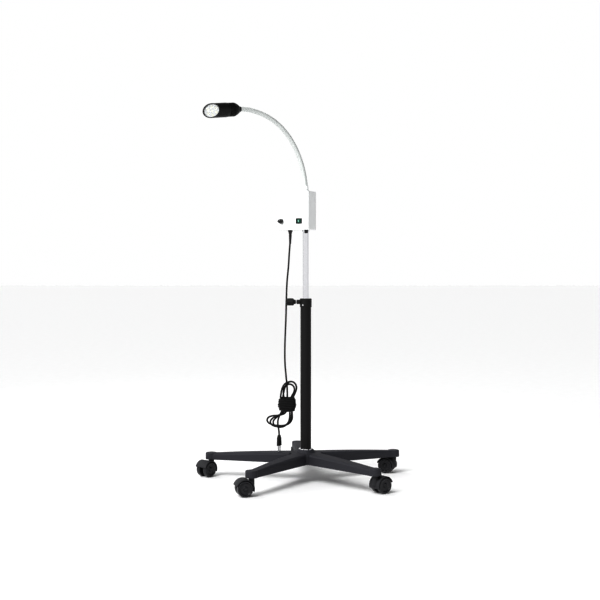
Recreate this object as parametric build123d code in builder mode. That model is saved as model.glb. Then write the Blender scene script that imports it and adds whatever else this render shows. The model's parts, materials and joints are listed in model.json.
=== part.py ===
from build123d import *
import os
from math import cos, pi, radians, sin, sqrt, tan

os.makedirs("parts", exist_ok=True)

# A mobile examination lamp. Millimetres, +Z up. The origin is on the floor, on the column's axis.
# The five-star base rolls on twin-wheel casters. A chromed pole slides and turns in the black column,
# and carries the control box, the gooseneck arm and the lamp head.

# ---------------------------------------------------------------- fits and clearances
RUN_FIT = 0.05  # radial clearance of a shaft that turns in its bore
BODY_GAP = 0.3  # space between pieces that move past each other
THREAD_ROOM = 0.25  # radial room of a screw in its clearance hole

# ---------------------------------------------------------------- casters
WHEEL_DIAMETER = 50
WHEEL_WIDTH = 16
WHEEL_SPACING = 14  # from the one wheel's inner face to the other's
WHEEL_DISH_RADIUS = 16.5
WHEEL_DISH_DEPTH = 3.5
WHEEL_HUB_RADIUS = 6.5
WHEEL_CAP = 2.5  # the wheel's skin over the end of the axle
AXLE_DIAMETER = 6
CASTER_TRAIL = 24  # from the stem's axis to the axle
TREAD_GAP = 1.3
HOOD_WALL = 2.7
HOOD_WEB = 12
WEB_EYE_RADIUS = 11
HOOD_CUT_TILT = 18  # the hood's lower edge rises towards its tail
STEM_DIAMETER = 11
STEM_GRIP = 18  # how far the stem reaches up into the base
STEM_SEAT = 19  # how far it reaches down into the hood
STEM_COLLAR_RADIUS = 8
STEM_COLLAR_HEIGHT = 1.7
CASTER_HEADINGS = (157, 90, 230, 197, 37)  # where each caster trails to, in degrees from +X

# ---------------------------------------------------------------- base
LEG_COUNT = 5
FIRST_LEG_ANGLE = 23
STEM_PITCH_RADIUS = 325
LEG_ROOT_WIDTH = 58
LEG_TIP_WIDTH = 33
LEG_ROOT_HEIGHT = 34
LEG_MIDDLE_HEIGHT = 28.5
LEG_TIP_HEIGHT = 20
LEG_SHOULDER = 7  # radius of a leg's upper edges
LEG_WALL = 3.5
RIB_THICKNESS = 3
RIB_COUNT = 6
TIP_RADIUS = 19
TIP_HEIGHT = 22
HUB_RADIUS = 52
BOSS_FOOT_RADIUS = 33
BOSS_TOP_RADIUS = 24.5
BOSS_HEIGHT = 10
HUB_FLOOR = 8

# ---------------------------------------------------------------- column and clamp
TUBE_DIAMETER = 35
TUBE_WALL = 2
TUBE_TOP = 592
FLANGE_RADIUS = 23
FLANGE_HEIGHT = 3
FOOT_PLUG_HEIGHT = 22
FOOT_BOLT_RADIUS = 5
FOOT_BOLT_HEAD_RADIUS = 9
FOOT_BOLT_HEAD_HEIGHT = 6.4
FOOT_WASHER_RADIUS = 15
FOOT_WASHER_HEIGHT = 2
COLLAR_WALL = 1.8
COLLAR_HEIGHT = 28
COLLAR_LIP = 2.5
COLLAR_LIP_BORE = 11.5
BUSH_FLANGE = 1.2
BUSH_LENGTH = 72
CLAMP_DROP = 11  # from the collar's top down to the clamp screw
CLAMP_SCREW_RADIUS = 4
CLAMP_BOSS_RADIUS = 7
CLAMP_BOSS_REACH = 30
CLAMP_NOSE_RADIUS = 2.4
CLAMP_NOSE_LENGTH = 3
PAD_LENGTH = 6.5
KNOB_NECK_START = 33
KNOB_NECK_RADIUS = 7
KNOB_START = 39
KNOB_LENGTH = 25
KNOB_RADIUS = 13
KNOB_LOBES = 6
KNOB_LOBE_RADIUS = 4.2
LOCK_SCREW_ANGLE = 241
LOCK_SCREW_RISE = 7
LOCK_SCREW_RADIUS = 2
LOCK_SCREW_HEAD_RADIUS = 2.8
LOCK_SCREW_HEAD = 1.2

# ---------------------------------------------------------------- pole
POLE_DIAMETER = 20
POLE_WALL = 1.5
POLE_FOOT = 390
POLE_IN_BOX = 24
POLE_NUT_RADIUS = 12.3
POLE_NUT_HEIGHT = 7

# ---------------------------------------------------------------- control box
BOX_TURN = -28  # the box looks a little to the left
BOX_BOTTOM = 822
BOX_WIDTH = 116
BOX_HEIGHT = 127
BOX_DEPTH = 58
BOX_LID_DEPTH = 7
BOX_WALL = 2
BOX_CORNER = 5
LID_EDGE = 2.5
POLE_TO_SIDE = 25  # from the pole's axis to the box's right side
SCREW_INSET = 9.5
SCREW_INSET_UP = 46  # clear of the fuse, the dimmer and the switch below them
SCREW_RADIUS = 1.5
SCREW_HEAD_RADIUS = 2.8
SCREW_HEAD_HEIGHT = 1.8
SCREW_BITE = 9
POST_RADIUS = 4
BOARD_WIDTH = 54
BOARD_HEIGHT = 88
BOARD_THICKNESS = 1.6
BOARD_STANDOFF = 11
STANDOFF_RADIUS = 3
BOARD_FROM_POLE = 50
CONTROL_RISE = 29  # from the box's bottom up to the switch and the dimmer

SWITCH_FROM_POLE = 10
SWITCH_WIDTH = 19
SWITCH_HEIGHT = 15
SWITCH_RIM = 1.2
SWITCH_RIM_HEIGHT = 2
SWITCH_BODY_DEPTH = 17
SWITCH_WALL = 1.8
ROCKER_PIN_RADIUS = 1
ROCKER_DEPTH = 9
ROCKER_TILT = 9  # how far it leans from the middle in either state
ROCKER_PROUD = 1.6

DIMMER_FROM_POLE = 76
DIMMER_KNOB_RADIUS = 8
DIMMER_KNOB_LENGTH = 12
DIMMER_FLUTES = 12
DIMMER_FLUTE_RADIUS = 1
DIMMER_SPINDLE_RADIUS = 3
DIMMER_NECK_RADIUS = 4.5
DIMMER_NECK_REACH = 4
DIMMER_BODY_RADIUS = 8
DIMMER_BODY_DEPTH = 12
POINTER_WIDTH = 1.2

FUSE_FROM_POLE = 10
FUSE_FORWARD = 16
FUSE_CAP_RADIUS = 6
FUSE_CAP_HEIGHT = 11
FUSE_BODY_RADIUS = 5
FUSE_BODY_HEIGHT = 26

GLAND_FROM_POLE = 58
GLAND_RADIUS = 6.5
GLAND_HEIGHT = 16
GLAND_THREAD_RADIUS = 5
GLAND_NUT_HEIGHT = 5

# ---------------------------------------------------------------- gooseneck
ARM_HEADING = 210  # the arm leans out over the floor in this direction, in degrees from +X
ARM_DIAMETER = 15
LINK_PITCH = 45
LINK_TILTS = (9, 17.5, 26, 35, 46, 58.5, 71, 81)  # each link's lean from upright
HEAD_TILT = 96.4
BALL_RADIUS = 6.2
CUP_LIP = 2  # the cup reaches this far past the ball's middle and holds it
BALL_ARC = 135  # the ball's profile ends this far round from its tail
BARREL_START = 5.5
GROOVE_DEPTH = 0.5
GROOVE_COUNT = 3
FERRULE_RADIUS = 9
FERRULE_FOOT_RADIUS = 12
FERRULE_FOOT_HEIGHT = 3
FERRULE_HEIGHT = 16  # from the box's top to the first joint
FERRULE_THREAD_RADIUS = 6
FERRULE_THREAD_LENGTH = 9
FERRULE_NUT_RADIUS = 9
FERRULE_NUT_HEIGHT = 4

# ---------------------------------------------------------------- lamp head
HEAD_NECK_LENGTH = 20  # from the last joint to the head's cap
HEAD_NECK_RADIUS = 7.5
HEAD_LENGTH = 101  # from the cap's tip to the middle of the face
HEAD_DIAMETER = 46
HEAD_WALL = 2
CAP_LENGTH = 21
CAP_TIP_RADIUS = 9
CAP_BASE_RADIUS = 21.5
FIN_COUNT = 5
FIN_PITCH = 4.5
FIN_THICKNESS = 2.4
FIN_ROOT_RADIUS = 18
FACE_HEADING = 250
FACE_LEAN = 92.3  # the face's own direction, from upright
BEZEL_HEIGHT = 1.6
BEZEL_RIM = 2.6
LENS_DEPTH = 1
LENS_THICKNESS = 2
REFLECTOR_THICKNESS = 7
CUP_MOUTH_RADIUS = 6.2
CUP_FOOT_RADIUS = 3.2
CUP_RING_ACROSS = 16.5
CUP_RING_UP = 13.4
CUP_RING_COUNT = 6
EMITTER_RADIUS = 2.4
EMITTER_FOOT = 1.2
LED_BOARD_THICKNESS = 1.6

# ---------------------------------------------------------------- mains cord
CORD_DIAMETER = 5.6
CORD_DEPTH = 27.2
DROP_ROUTE = (
    (-51.2, 27.2, 806),
    (-51.6, 27.3, 785),
    (-54.6, 27.0, 748),
    (-57.2, 26.4, 700),
    (-62.6, 26.9, 650),
    (-64.4, 27.6, 590),
    (-66.0, 27.2, 520),
    (-69.4, 26.9, 445),
    (-69.6, 27.4, 385),
    (-66.2, 27.3, 348),
    (-64.4, 27.2, 325),
)
TAIL_ROUTE = (
    (-78.0, 16.6, 220),
    (-88.5, 16.0, 206),
    (-93.6, 15.8, 187),
    (-90.4, 16.1, 168),
    (-88.2, 16.2, 154),
    (-88.0, 16.2, 144),
)
HANK_UPPER = (-52, 295, 29, 30, 12)  # middle x and z, half width, half height, full depth
HANK_LOWER = (-84, 203, 46, 37, 12)
HANK_LOWER_TILT = 22
HANK_WRAP = (-62, 244, 61, 50, 26)  # middle x and z, width, height, depth
HANK_WRAP_CORNER = 9
PLUG_WIDTH = 35
PLUG_THICKNESS = 13.7
PLUG_LENGTH = 34
PLUG_NECK_RADIUS = 4.5
PLUG_NECK_LENGTH = 10
PLUG_PIN_RADIUS = 2
PLUG_PIN_LENGTH = 19
PLUG_PIN_SPACING = 19
PLUG_TURN = 75

# ---------------------------------------------------------------- worked out from the sizes above
WHEEL_RADIUS = WHEEL_DIAMETER / 2
AXLE_RADIUS = AXLE_DIAMETER / 2
WHEEL_INNER_FACE = WHEEL_SPACING / 2
WHEEL_OUTER_FACE = WHEEL_INNER_FACE + WHEEL_WIDTH
WHEEL_SHOULDER = 3
WHEEL_BORE_END = WHEEL_OUTER_FACE - WHEEL_CAP
POCKET_RADIUS = WHEEL_RADIUS + TREAD_GAP
HOOD_RADIUS = POCKET_RADIUS + HOOD_WALL
HOOD_TOP = WHEEL_RADIUS + HOOD_RADIUS
STEM_RADIUS = STEM_DIAMETER / 2
BOSS_WALL = 3.5
UNDERSIDE = HOOD_TOP + STEM_COLLAR_HEIGHT + BODY_GAP

LEG_ANGLES = [FIRST_LEG_ANGLE + 360 / LEG_COUNT * i for i in range(LEG_COUNT)]
HUB_TOP = UNDERSIDE + LEG_ROOT_HEIGHT
BOSS_TOP = HUB_TOP + BOSS_HEIGHT
TUBE_RADIUS = TUBE_DIAMETER / 2
TUBE_BORE = TUBE_RADIUS - TUBE_WALL
TUBE_FOOT = UNDERSIDE + HUB_FLOOR
COLLAR_RADIUS = TUBE_RADIUS + COLLAR_WALL
BUSH_TOP = TUBE_TOP + BUSH_FLANGE + BODY_GAP / 2
COLLAR_TOP = BUSH_TOP + BODY_GAP / 2 + COLLAR_LIP
CLAMP_HEIGHT = COLLAR_TOP - CLAMP_DROP
POLE_RADIUS = POLE_DIAMETER / 2
BUSH_RADIUS = TUBE_BORE - RUN_FIT

BOX_TOP = BOX_BOTTOM + BOX_HEIGHT
BOX_MIDDLE = POLE_TO_SIDE - BOX_WIDTH / 2
FRONT_FACE = -BOX_DEPTH / 2
LID_BACK = FRONT_FACE + BOX_LID_DEPTH
CONTROL_HEIGHT = BOX_BOTTOM + CONTROL_RISE
box_plane = Plane(origin=(0, 0, 0), x_dir=(cos(radians(BOX_TURN)), sin(radians(BOX_TURN)), 0), z_dir=(0, 0, 1))
ACROSS = box_plane.x_dir
INWARD = box_plane.y_dir


def box_point(across, inward, height):
    """A point of the box: across to its right, inward from the pole's plane, and its height."""
    return ACROSS * across + INWARD * inward + Vector(0, 0, height)


def front_plane(inward):
    """A plane parallel to the box's front, which looks out of the box; its x runs to the right."""
    return Plane(origin=box_point(0, inward, 0), x_dir=ACROSS, z_dir=INWARD * -1)


def keep(piece, name):
    """Label one finished piece and write it."""
    piece.label = name
    export_step(piece, f"parts/{name}.step")


# ================================================================ base
LEG_START = HUB_RADIUS - LEG_WALL


def leg_shape(wall, shoulder):
    """A leg's tapered, gently arched form, drawn in by a wall; its upper edges are rounded by a shoulder."""
    with BuildPart() as shape:
        with BuildSketch(Plane.XY.offset(UNDERSIDE)):
            with BuildLine():
                Polyline(
                    (LEG_START, -LEG_ROOT_WIDTH / 2 + wall),
                    (STEM_PITCH_RADIUS, -LEG_TIP_WIDTH / 2 + wall),
                    (STEM_PITCH_RADIUS, LEG_TIP_WIDTH / 2 - wall),
                    (LEG_START, LEG_ROOT_WIDTH / 2 - wall),
                    close=True,
                )
            make_face()
        extrude(amount=LEG_ROOT_HEIGHT)
        with BuildSketch(Plane.XZ.offset(-LEG_ROOT_WIDTH)):
            with BuildLine():
                root = (LEG_START, UNDERSIDE + LEG_ROOT_HEIGHT - wall)
                middle = ((LEG_START + STEM_PITCH_RADIUS) / 2, UNDERSIDE + LEG_MIDDLE_HEIGHT - wall)
                tip = (STEM_PITCH_RADIUS, UNDERSIDE + LEG_TIP_HEIGHT - wall)
                ThreePointArc(root, middle, tip)
                Polyline(tip, (STEM_PITCH_RADIUS, UNDERSIDE), (LEG_START, UNDERSIDE), root)
            make_face()
        extrude(amount=2 * LEG_ROOT_WIDTH, mode=Mode.INTERSECT)
        if shoulder:
            arched = shape.edges().group_by(SortBy.LENGTH)[-1] + shape.edges().group_by(SortBy.LENGTH)[-2]
            fillet(arched.filter_by(lambda e: e.center().Z > UNDERSIDE + 1), shoulder)
    return shape.part


leg_form = leg_shape(0, min(LEG_SHOULDER, LEG_TIP_HEIGHT / 3, LEG_TIP_WIDTH / 3))

rib_start = HUB_RADIUS
rib_pitch = (STEM_PITCH_RADIUS - TIP_RADIUS - rib_start) / RIB_COUNT
with BuildPart() as leg_ribs:
    with BuildSketch(Plane.XY.offset(UNDERSIDE)):
        with Locations(((LEG_START + STEM_PITCH_RADIUS) / 2, 0)):
            Rectangle(STEM_PITCH_RADIUS - LEG_START, RIB_THICKNESS)
        for i in range(RIB_COUNT):
            lean = 40 if i % 2 else -40
            with Locations((rib_start + (i + 0.5) * rib_pitch, 0)):
                Rectangle(RIB_THICKNESS, LEG_ROOT_WIDTH * 2, rotation=lean)
    extrude(amount=LEG_ROOT_HEIGHT)
    add(leg_shape(LEG_WALL / 2, 0), mode=Mode.INTERSECT)

with BuildPart() as leg:
    add(leg_form)
    add(leg_shape(LEG_WALL, 0), mode=Mode.SUBTRACT)
    add(leg_ribs.part)

with BuildPart() as base_star:
    with BuildSketch(Plane.XY.offset(UNDERSIDE)):
        Circle(HUB_RADIUS)
    extrude(amount=LEG_ROOT_HEIGHT)
    for leg_angle in LEG_ANGLES:
        add(leg.part.rotate(Axis.Z, leg_angle))
    with BuildSketch(Plane.XZ) as boss_profile:
        with BuildLine():
            Polyline(
                (0, HUB_TOP - LEG_SHOULDER),
                (HUB_RADIUS - LEG_SHOULDER, HUB_TOP - LEG_SHOULDER),
                (BOSS_FOOT_RADIUS, HUB_TOP),
                (BOSS_TOP_RADIUS, BOSS_TOP),
                (0, BOSS_TOP),
                close=True,
            )
        make_face()
    revolve(axis=Axis.Z)
    with BuildSketch(Plane.XY.offset(UNDERSIDE)):
        with PolarLocations(STEM_PITCH_RADIUS, LEG_COUNT, start_angle=FIRST_LEG_ANGLE):
            Circle(TIP_RADIUS)
    tips = extrude(amount=TIP_HEIGHT)
    with BuildSketch(Plane.XY.offset(UNDERSIDE)):
        with PolarLocations(STEM_PITCH_RADIUS, LEG_COUNT, start_angle=FIRST_LEG_ANGLE):
            Circle(STEM_RADIUS)
    extrude(amount=STEM_GRIP, mode=Mode.SUBTRACT)
    with BuildSketch(Plane.XY.offset(TUBE_FOOT)):
        Circle(TUBE_RADIUS)
    extrude(amount=BOSS_TOP, mode=Mode.SUBTRACT)
    with BuildSketch(Plane.XY.offset(UNDERSIDE)):
        Circle(FOOT_BOLT_RADIUS + THREAD_ROOM)
    extrude(amount=HUB_FLOOR, mode=Mode.SUBTRACT)
    tip_rims = base_star.edges().filter_by(GeomType.CIRCLE).filter_by(
        lambda e: abs(e.radius - TIP_RADIUS) < 0.01 and abs(e.center().Z - UNDERSIDE - TIP_HEIGHT) < 0.01
    )
    fillet(tip_rims, TIP_HEIGHT / 6)
keep(base_star.part, "base_star")

# ================================================================ casters
stem_places = [
    (STEM_PITCH_RADIUS * cos(radians(a)), STEM_PITCH_RADIUS * sin(radians(a))) for a in LEG_ANGLES
]

with BuildPart() as caster_stems:
    with BuildSketch(Plane.XY.offset(HOOD_TOP - STEM_SEAT)):
        with Locations(*stem_places):
            Circle(STEM_RADIUS)
    extrude(amount=STEM_SEAT + UNDERSIDE - HOOD_TOP + STEM_GRIP)
    with BuildSketch(Plane.XY.offset(UNDERSIDE - STEM_COLLAR_HEIGHT)):
        with Locations(*stem_places):
            Circle(STEM_COLLAR_RADIUS)
    extrude(amount=STEM_COLLAR_HEIGHT)
keep(caster_stems.part, "caster_stems")

for number, (place, heading) in enumerate(zip(stem_places, CASTER_HEADINGS), start=1):
    trail = Vector(cos(radians(heading)), sin(radians(heading)), 0)
    stem_foot = Vector(place[0], place[1], 0)
    axle_middle = stem_foot + trail * CASTER_TRAIL + Vector(0, 0, WHEEL_RADIUS)
    side_plane = Plane(origin=axle_middle, x_dir=trail, z_dir=trail.cross(Vector(0, 0, 1)))
    axle_line = Axis(axle_middle, side_plane.z_dir)

    with BuildPart() as hood:
        with BuildSketch(side_plane):
            Circle(HOOD_RADIUS)
        extrude(amount=WHEEL_OUTER_FACE, both=True)
        split(bisect_by=Plane(axle_middle, z_dir=Vector(0, 0, 1) - trail * tan(radians(HOOD_CUT_TILT))), keep=Keep.TOP)
        with BuildSketch(Plane(origin=stem_foot + Vector(0, 0, WHEEL_RADIUS), z_dir=(0, 0, 1))):
            Circle(STEM_RADIUS + BOSS_WALL)
        extrude(amount=HOOD_RADIUS)
        for side in (1, -1):
            with BuildSketch(side_plane.offset(side * HOOD_WEB / 2)):
                Circle(POCKET_RADIUS)
            extrude(amount=side * WHEEL_OUTER_FACE, mode=Mode.SUBTRACT)
        with BuildSketch(side_plane):
            Circle(WEB_EYE_RADIUS)
        extrude(amount=HOOD_WEB / 2, both=True)
        with BuildSketch(Plane(origin=stem_foot + Vector(0, 0, HOOD_TOP - STEM_SEAT - BODY_GAP), z_dir=(0, 0, 1))):
            Circle(STEM_RADIUS + RUN_FIT)
        extrude(amount=STEM_SEAT + 2 * BODY_GAP, mode=Mode.SUBTRACT)
        with BuildSketch(side_plane):
            Circle(AXLE_RADIUS)
        extrude(amount=HOOD_WEB, both=True, mode=Mode.SUBTRACT)
    keep(hood.part, f"caster_hood_{number}")

    with BuildPart() as axle:
        with BuildSketch(side_plane):
            Circle(AXLE_RADIUS)
        extrude(amount=WHEEL_BORE_END - BODY_GAP, both=True)
    keep(axle.part, f"caster_axle_{number}")

    with BuildPart() as wheels:
        for side in (1, -1):
            wheel_plane = Plane(origin=axle_middle, x_dir=side_plane.z_dir * side, z_dir=trail)
            with BuildSketch(wheel_plane):
                with BuildLine():
                    inner = WHEEL_INNER_FACE
                    outer = WHEEL_OUTER_FACE
                    Polyline(
                        (inner, AXLE_RADIUS + RUN_FIT),
                        (inner, WHEEL_RADIUS - WHEEL_SHOULDER / 2),
                        (inner + WHEEL_SHOULDER / 2, WHEEL_RADIUS),
                        (outer - WHEEL_SHOULDER, WHEEL_RADIUS),
                        (outer, WHEEL_RADIUS - WHEEL_SHOULDER),
                        (outer, WHEEL_DISH_RADIUS + WHEEL_SHOULDER),
                        (outer - WHEEL_DISH_DEPTH, WHEEL_DISH_RADIUS),
                        (outer - WHEEL_DISH_DEPTH, WHEEL_HUB_RADIUS),
                        (outer, WHEEL_HUB_RADIUS - 1),
                        (outer, 0),
                        (WHEEL_BORE_END, 0),
                        (WHEEL_BORE_END, AXLE_RADIUS + RUN_FIT),
                        close=True,
                    )
                make_face()
            revolve(axis=axle_line)
    keep(wheels.part, f"caster_wheels_{number}")

# ================================================================ column
with BuildPart() as column_tube:
    with BuildSketch(Plane.XY.offset(TUBE_FOOT)):
        Circle(TUBE_RADIUS)
        Circle(TUBE_BORE, mode=Mode.SUBTRACT)
    extrude(amount=TUBE_TOP - TUBE_FOOT)
    with BuildSketch(Plane.YZ.offset(-TUBE_BORE + TUBE_WALL)):
        with Locations((0, CLAMP_HEIGHT)):
            Circle(CLAMP_SCREW_RADIUS + THREAD_ROOM)
    extrude(amount=-2 * TUBE_WALL - TUBE_WALL, mode=Mode.SUBTRACT)
    lock_direction = Vector(cos(radians(LOCK_SCREW_ANGLE)), sin(radians(LOCK_SCREW_ANGLE)), 0)
    lock_plane = Plane(
        origin=(0, 0, COLLAR_TOP - COLLAR_HEIGHT + LOCK_SCREW_RISE), x_dir=(0, 0, 1), z_dir=lock_direction
    )
    with BuildSketch(lock_plane.offset(TUBE_BORE - TUBE_WALL)):
        Circle(LOCK_SCREW_RADIUS)
    extrude(amount=3 * TUBE_WALL, mode=Mode.SUBTRACT)
keep(column_tube.part, "column_tube")

with BuildPart() as column_flange:
    with BuildSketch(Plane.XY.offset(BOSS_TOP)):
        Circle(FLANGE_RADIUS)
        Circle(TUBE_RADIUS, mode=Mode.SUBTRACT)
    extrude(amount=FLANGE_HEIGHT)
    chamfer(column_flange.edges().group_by(Axis.Z)[-1].sort_by(SortBy.LENGTH)[-1], FLANGE_HEIGHT / 3)
keep(column_flange.part, "column_flange")

with BuildPart() as column_foot_plug:
    with BuildSketch(Plane.XY.offset(TUBE_FOOT)):
        Circle(TUBE_BORE)
        Circle(FOOT_BOLT_RADIUS, mode=Mode.SUBTRACT)
    extrude(amount=FOOT_PLUG_HEIGHT)
keep(column_foot_plug.part, "column_foot_plug")

with BuildPart() as column_foot_bolt:
    with BuildSketch(Plane.XY.offset(UNDERSIDE)):
        Circle(FOOT_WASHER_RADIUS)
    extrude(amount=-FOOT_WASHER_HEIGHT)
    with BuildSketch(Plane.XY.offset(UNDERSIDE - FOOT_WASHER_HEIGHT)):
        RegularPolygon(FOOT_BOLT_HEAD_RADIUS, 6)
    extrude(amount=-FOOT_BOLT_HEAD_HEIGHT)
    with BuildSketch(Plane.XY.offset(UNDERSIDE)):
        Circle(FOOT_BOLT_RADIUS)
    extrude(amount=HUB_FLOOR + FOOT_PLUG_HEIGHT)
keep(column_foot_bolt.part, "column_foot_bolt")

with BuildPart() as column_collar:
    with BuildSketch(Plane.XY.offset(COLLAR_TOP - COLLAR_HEIGHT)):
        Circle(COLLAR_RADIUS)
    extrude(amount=COLLAR_HEIGHT)
    chamfer(column_collar.edges().group_by(Axis.Z)[-1], COLLAR_WALL / 2)
    with BuildSketch(Plane.YZ.offset(-TUBE_RADIUS)):
        with Locations((0, CLAMP_HEIGHT)):
            Circle(CLAMP_BOSS_RADIUS)
    extrude(amount=TUBE_RADIUS - CLAMP_BOSS_REACH)
    with BuildSketch(Plane.XY.offset(COLLAR_TOP - COLLAR_HEIGHT)):
        Circle(TUBE_RADIUS)
    extrude(amount=COLLAR_HEIGHT - COLLAR_LIP, mode=Mode.SUBTRACT)
    with BuildSketch(Plane.XY.offset(COLLAR_TOP)):
        Circle(COLLAR_LIP_BORE)
    extrude(amount=-2 * COLLAR_LIP, mode=Mode.SUBTRACT)
    with BuildSketch(Plane.YZ.offset(-CLAMP_BOSS_REACH)):
        with Locations((0, CLAMP_HEIGHT)):
            Circle(CLAMP_SCREW_RADIUS + RUN_FIT)
    extrude(amount=CLAMP_BOSS_REACH - TUBE_BORE, mode=Mode.SUBTRACT)
    with BuildSketch(lock_plane.offset(TUBE_BORE)):
        Circle(LOCK_SCREW_RADIUS)
    extrude(amount=3 * TUBE_WALL, mode=Mode.SUBTRACT)
keep(column_collar.part, "column_collar")

with BuildPart() as collar_lock_screw:
    with BuildSketch(lock_plane.offset(TUBE_BORE)):
        Circle(LOCK_SCREW_RADIUS)
    extrude(amount=COLLAR_RADIUS - TUBE_BORE)
    with BuildSketch(lock_plane.offset(COLLAR_RADIUS)):
        Circle(LOCK_SCREW_HEAD_RADIUS)
    extrude(amount=LOCK_SCREW_HEAD)
keep(collar_lock_screw.part, "collar_lock_screw")

with BuildPart() as guide_bush:
    with BuildSketch(Plane.XY.offset(TUBE_TOP - BUSH_LENGTH)):
        Circle(BUSH_RADIUS)
    extrude(amount=BUSH_LENGTH)
    with BuildSketch(Plane.XY.offset(TUBE_TOP + BODY_GAP / 2)):
        Circle(TUBE_RADIUS - COLLAR_WALL / 2)
    extrude(amount=BUSH_FLANGE)
    with BuildSketch(Plane.XY.offset(TUBE_TOP)):
        Circle(BUSH_RADIUS)
    extrude(amount=BODY_GAP / 2)
    with BuildSketch(Plane.XY.offset(TUBE_TOP - BUSH_LENGTH)):
        Circle(POLE_RADIUS + RUN_FIT)
    extrude(amount=2 * BUSH_LENGTH, mode=Mode.SUBTRACT)
keep(guide_bush.part, "guide_bush")

# ---------------------------------------------------------------- clamp: pad, screw and star knob
PAD_TIP = -(BUSH_RADIUS + RUN_FIT)
PAD_BACK = PAD_TIP - PAD_LENGTH

with BuildPart() as clamp_pad:
    with BuildSketch(Plane.YZ.offset(PAD_TIP)):
        with Locations((0, CLAMP_HEIGHT)):
            Circle(CLAMP_SCREW_RADIUS)
    extrude(amount=-PAD_LENGTH)
    with BuildSketch(Plane.YZ.offset(PAD_BACK)):
        with Locations((0, CLAMP_HEIGHT)):
            Circle(CLAMP_NOSE_RADIUS + RUN_FIT)
    extrude(amount=CLAMP_NOSE_LENGTH + RUN_FIT, mode=Mode.SUBTRACT)
keep(clamp_pad.part, "clamp_pad")

with BuildPart() as clamp_screw:
    with BuildSketch(Plane.YZ.offset(PAD_BACK - RUN_FIT)):
        with Locations((0, CLAMP_HEIGHT)):
            Circle(CLAMP_SCREW_RADIUS)
    extrude(amount=-(KNOB_START + KNOB_LENGTH / 2 + PAD_BACK - RUN_FIT))
    with BuildSketch(Plane.YZ.offset(PAD_BACK - RUN_FIT)):
        with Locations((0, CLAMP_HEIGHT)):
            Circle(CLAMP_NOSE_RADIUS)
    extrude(amount=CLAMP_NOSE_LENGTH)
keep(clamp_screw.part, "clamp_screw")

with BuildPart() as clamp_knob:
    with BuildSketch(Plane.YZ.offset(-KNOB_START)):
        with Locations((0, CLAMP_HEIGHT)):
            Circle(KNOB_RADIUS - KNOB_LOBE_RADIUS / 2)
            with PolarLocations(KNOB_RADIUS - KNOB_LOBE_RADIUS, KNOB_LOBES):
                Circle(KNOB_LOBE_RADIUS)
    extrude(amount=-KNOB_LENGTH)
    chamfer(clamp_knob.edges().group_by(Axis.X)[0], 1.5)
    with BuildSketch(Plane.YZ.offset(-KNOB_NECK_START)):
        with Locations((0, CLAMP_HEIGHT)):
            Circle(KNOB_NECK_RADIUS)
    extrude(amount=KNOB_NECK_START - KNOB_START)
    with BuildSketch(Plane.YZ.offset(-KNOB_NECK_START)):
        with Locations((0, CLAMP_HEIGHT)):
            Circle(CLAMP_SCREW_RADIUS)
    extrude(amount=KNOB_NECK_START - KNOB_START - KNOB_LENGTH / 2, mode=Mode.SUBTRACT)
keep(clamp_knob.part, "clamp_knob")

# ================================================================ pole
with BuildPart() as pole_tube:
    with BuildSketch(Plane.XY.offset(POLE_FOOT)):
        Circle(POLE_RADIUS)
        Circle(POLE_RADIUS - POLE_WALL, mode=Mode.SUBTRACT)
    extrude(amount=BOX_BOTTOM + POLE_IN_BOX - POLE_FOOT)
keep(pole_tube.part, "pole_tube")

with BuildPart() as pole_nut:
    with BuildSketch(Plane.XY.offset(BOX_BOTTOM - POLE_NUT_HEIGHT)):
        Circle(POLE_NUT_RADIUS)
        Circle(POLE_RADIUS, mode=Mode.SUBTRACT)
    extrude(amount=POLE_NUT_HEIGHT)
    chamfer(pole_nut.edges().group_by(Axis.Z)[0].sort_by(SortBy.LENGTH)[-1], 1)
keep(pole_nut.part, "pole_nut")

# ================================================================ control box
screw_across = BOX_WIDTH / 2 - SCREW_INSET
screw_up = BOX_HEIGHT / 2 - SCREW_INSET_UP
screw_places = [
    (BOX_MIDDLE + i * screw_across, BOX_BOTTOM + BOX_HEIGHT / 2 + j * screw_up) for i in (-1, 1) for j in (-1, 1)
]
board_middle = (-BOARD_FROM_POLE, BOX_BOTTOM + BOX_HEIGHT / 2)
BACK_INSIDE = BOX_DEPTH / 2 - BOX_WALL
out_of_front = Axis((0, 0, 0), INWARD * -1)

with BuildPart() as box_rear:
    with BuildSketch(front_plane(LID_BACK)):
        with Locations((BOX_MIDDLE, BOX_BOTTOM + BOX_HEIGHT / 2)):
            Rectangle(BOX_WIDTH, BOX_HEIGHT)
    extrude(amount=-(BOX_DEPTH - BOX_LID_DEPTH))
    fillet(box_rear.edges().group_by(out_of_front)[0], BOX_CORNER)
    fillet(box_rear.edges().filter_by(out_of_front), BOX_CORNER / 2)
    offset(amount=-BOX_WALL, openings=box_rear.faces().sort_by(out_of_front)[-1])
    with BuildSketch(front_plane(BACK_INSIDE)):
        with Locations(board_middle):
            with GridLocations(BOARD_WIDTH - 3 * STANDOFF_RADIUS, BOARD_HEIGHT - 3 * STANDOFF_RADIUS, 2, 2):
                Circle(STANDOFF_RADIUS)
    extrude(amount=BOARD_STANDOFF)
    with BuildSketch(front_plane(BACK_INSIDE)):
        with Locations(*screw_places):
            Circle(SCREW_RADIUS + THREAD_ROOM)
    extrude(amount=-2 * BOX_WALL, mode=Mode.SUBTRACT)
    with BuildSketch(box_plane.offset(BOX_BOTTOM)):
        Circle(POLE_RADIUS)
        with Locations((-GLAND_FROM_POLE, 0)):
            Circle(GLAND_THREAD_RADIUS)
        with Locations((FUSE_FROM_POLE, -FUSE_FORWARD)):
            Circle(FUSE_BODY_RADIUS)
    extrude(amount=BOX_WALL, mode=Mode.SUBTRACT)
    with BuildSketch(box_plane.offset(BOX_TOP)):
        Circle(FERRULE_THREAD_RADIUS)
    extrude(amount=-BOX_WALL, mode=Mode.SUBTRACT)
keep(box_rear.part, "box_rear")

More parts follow.
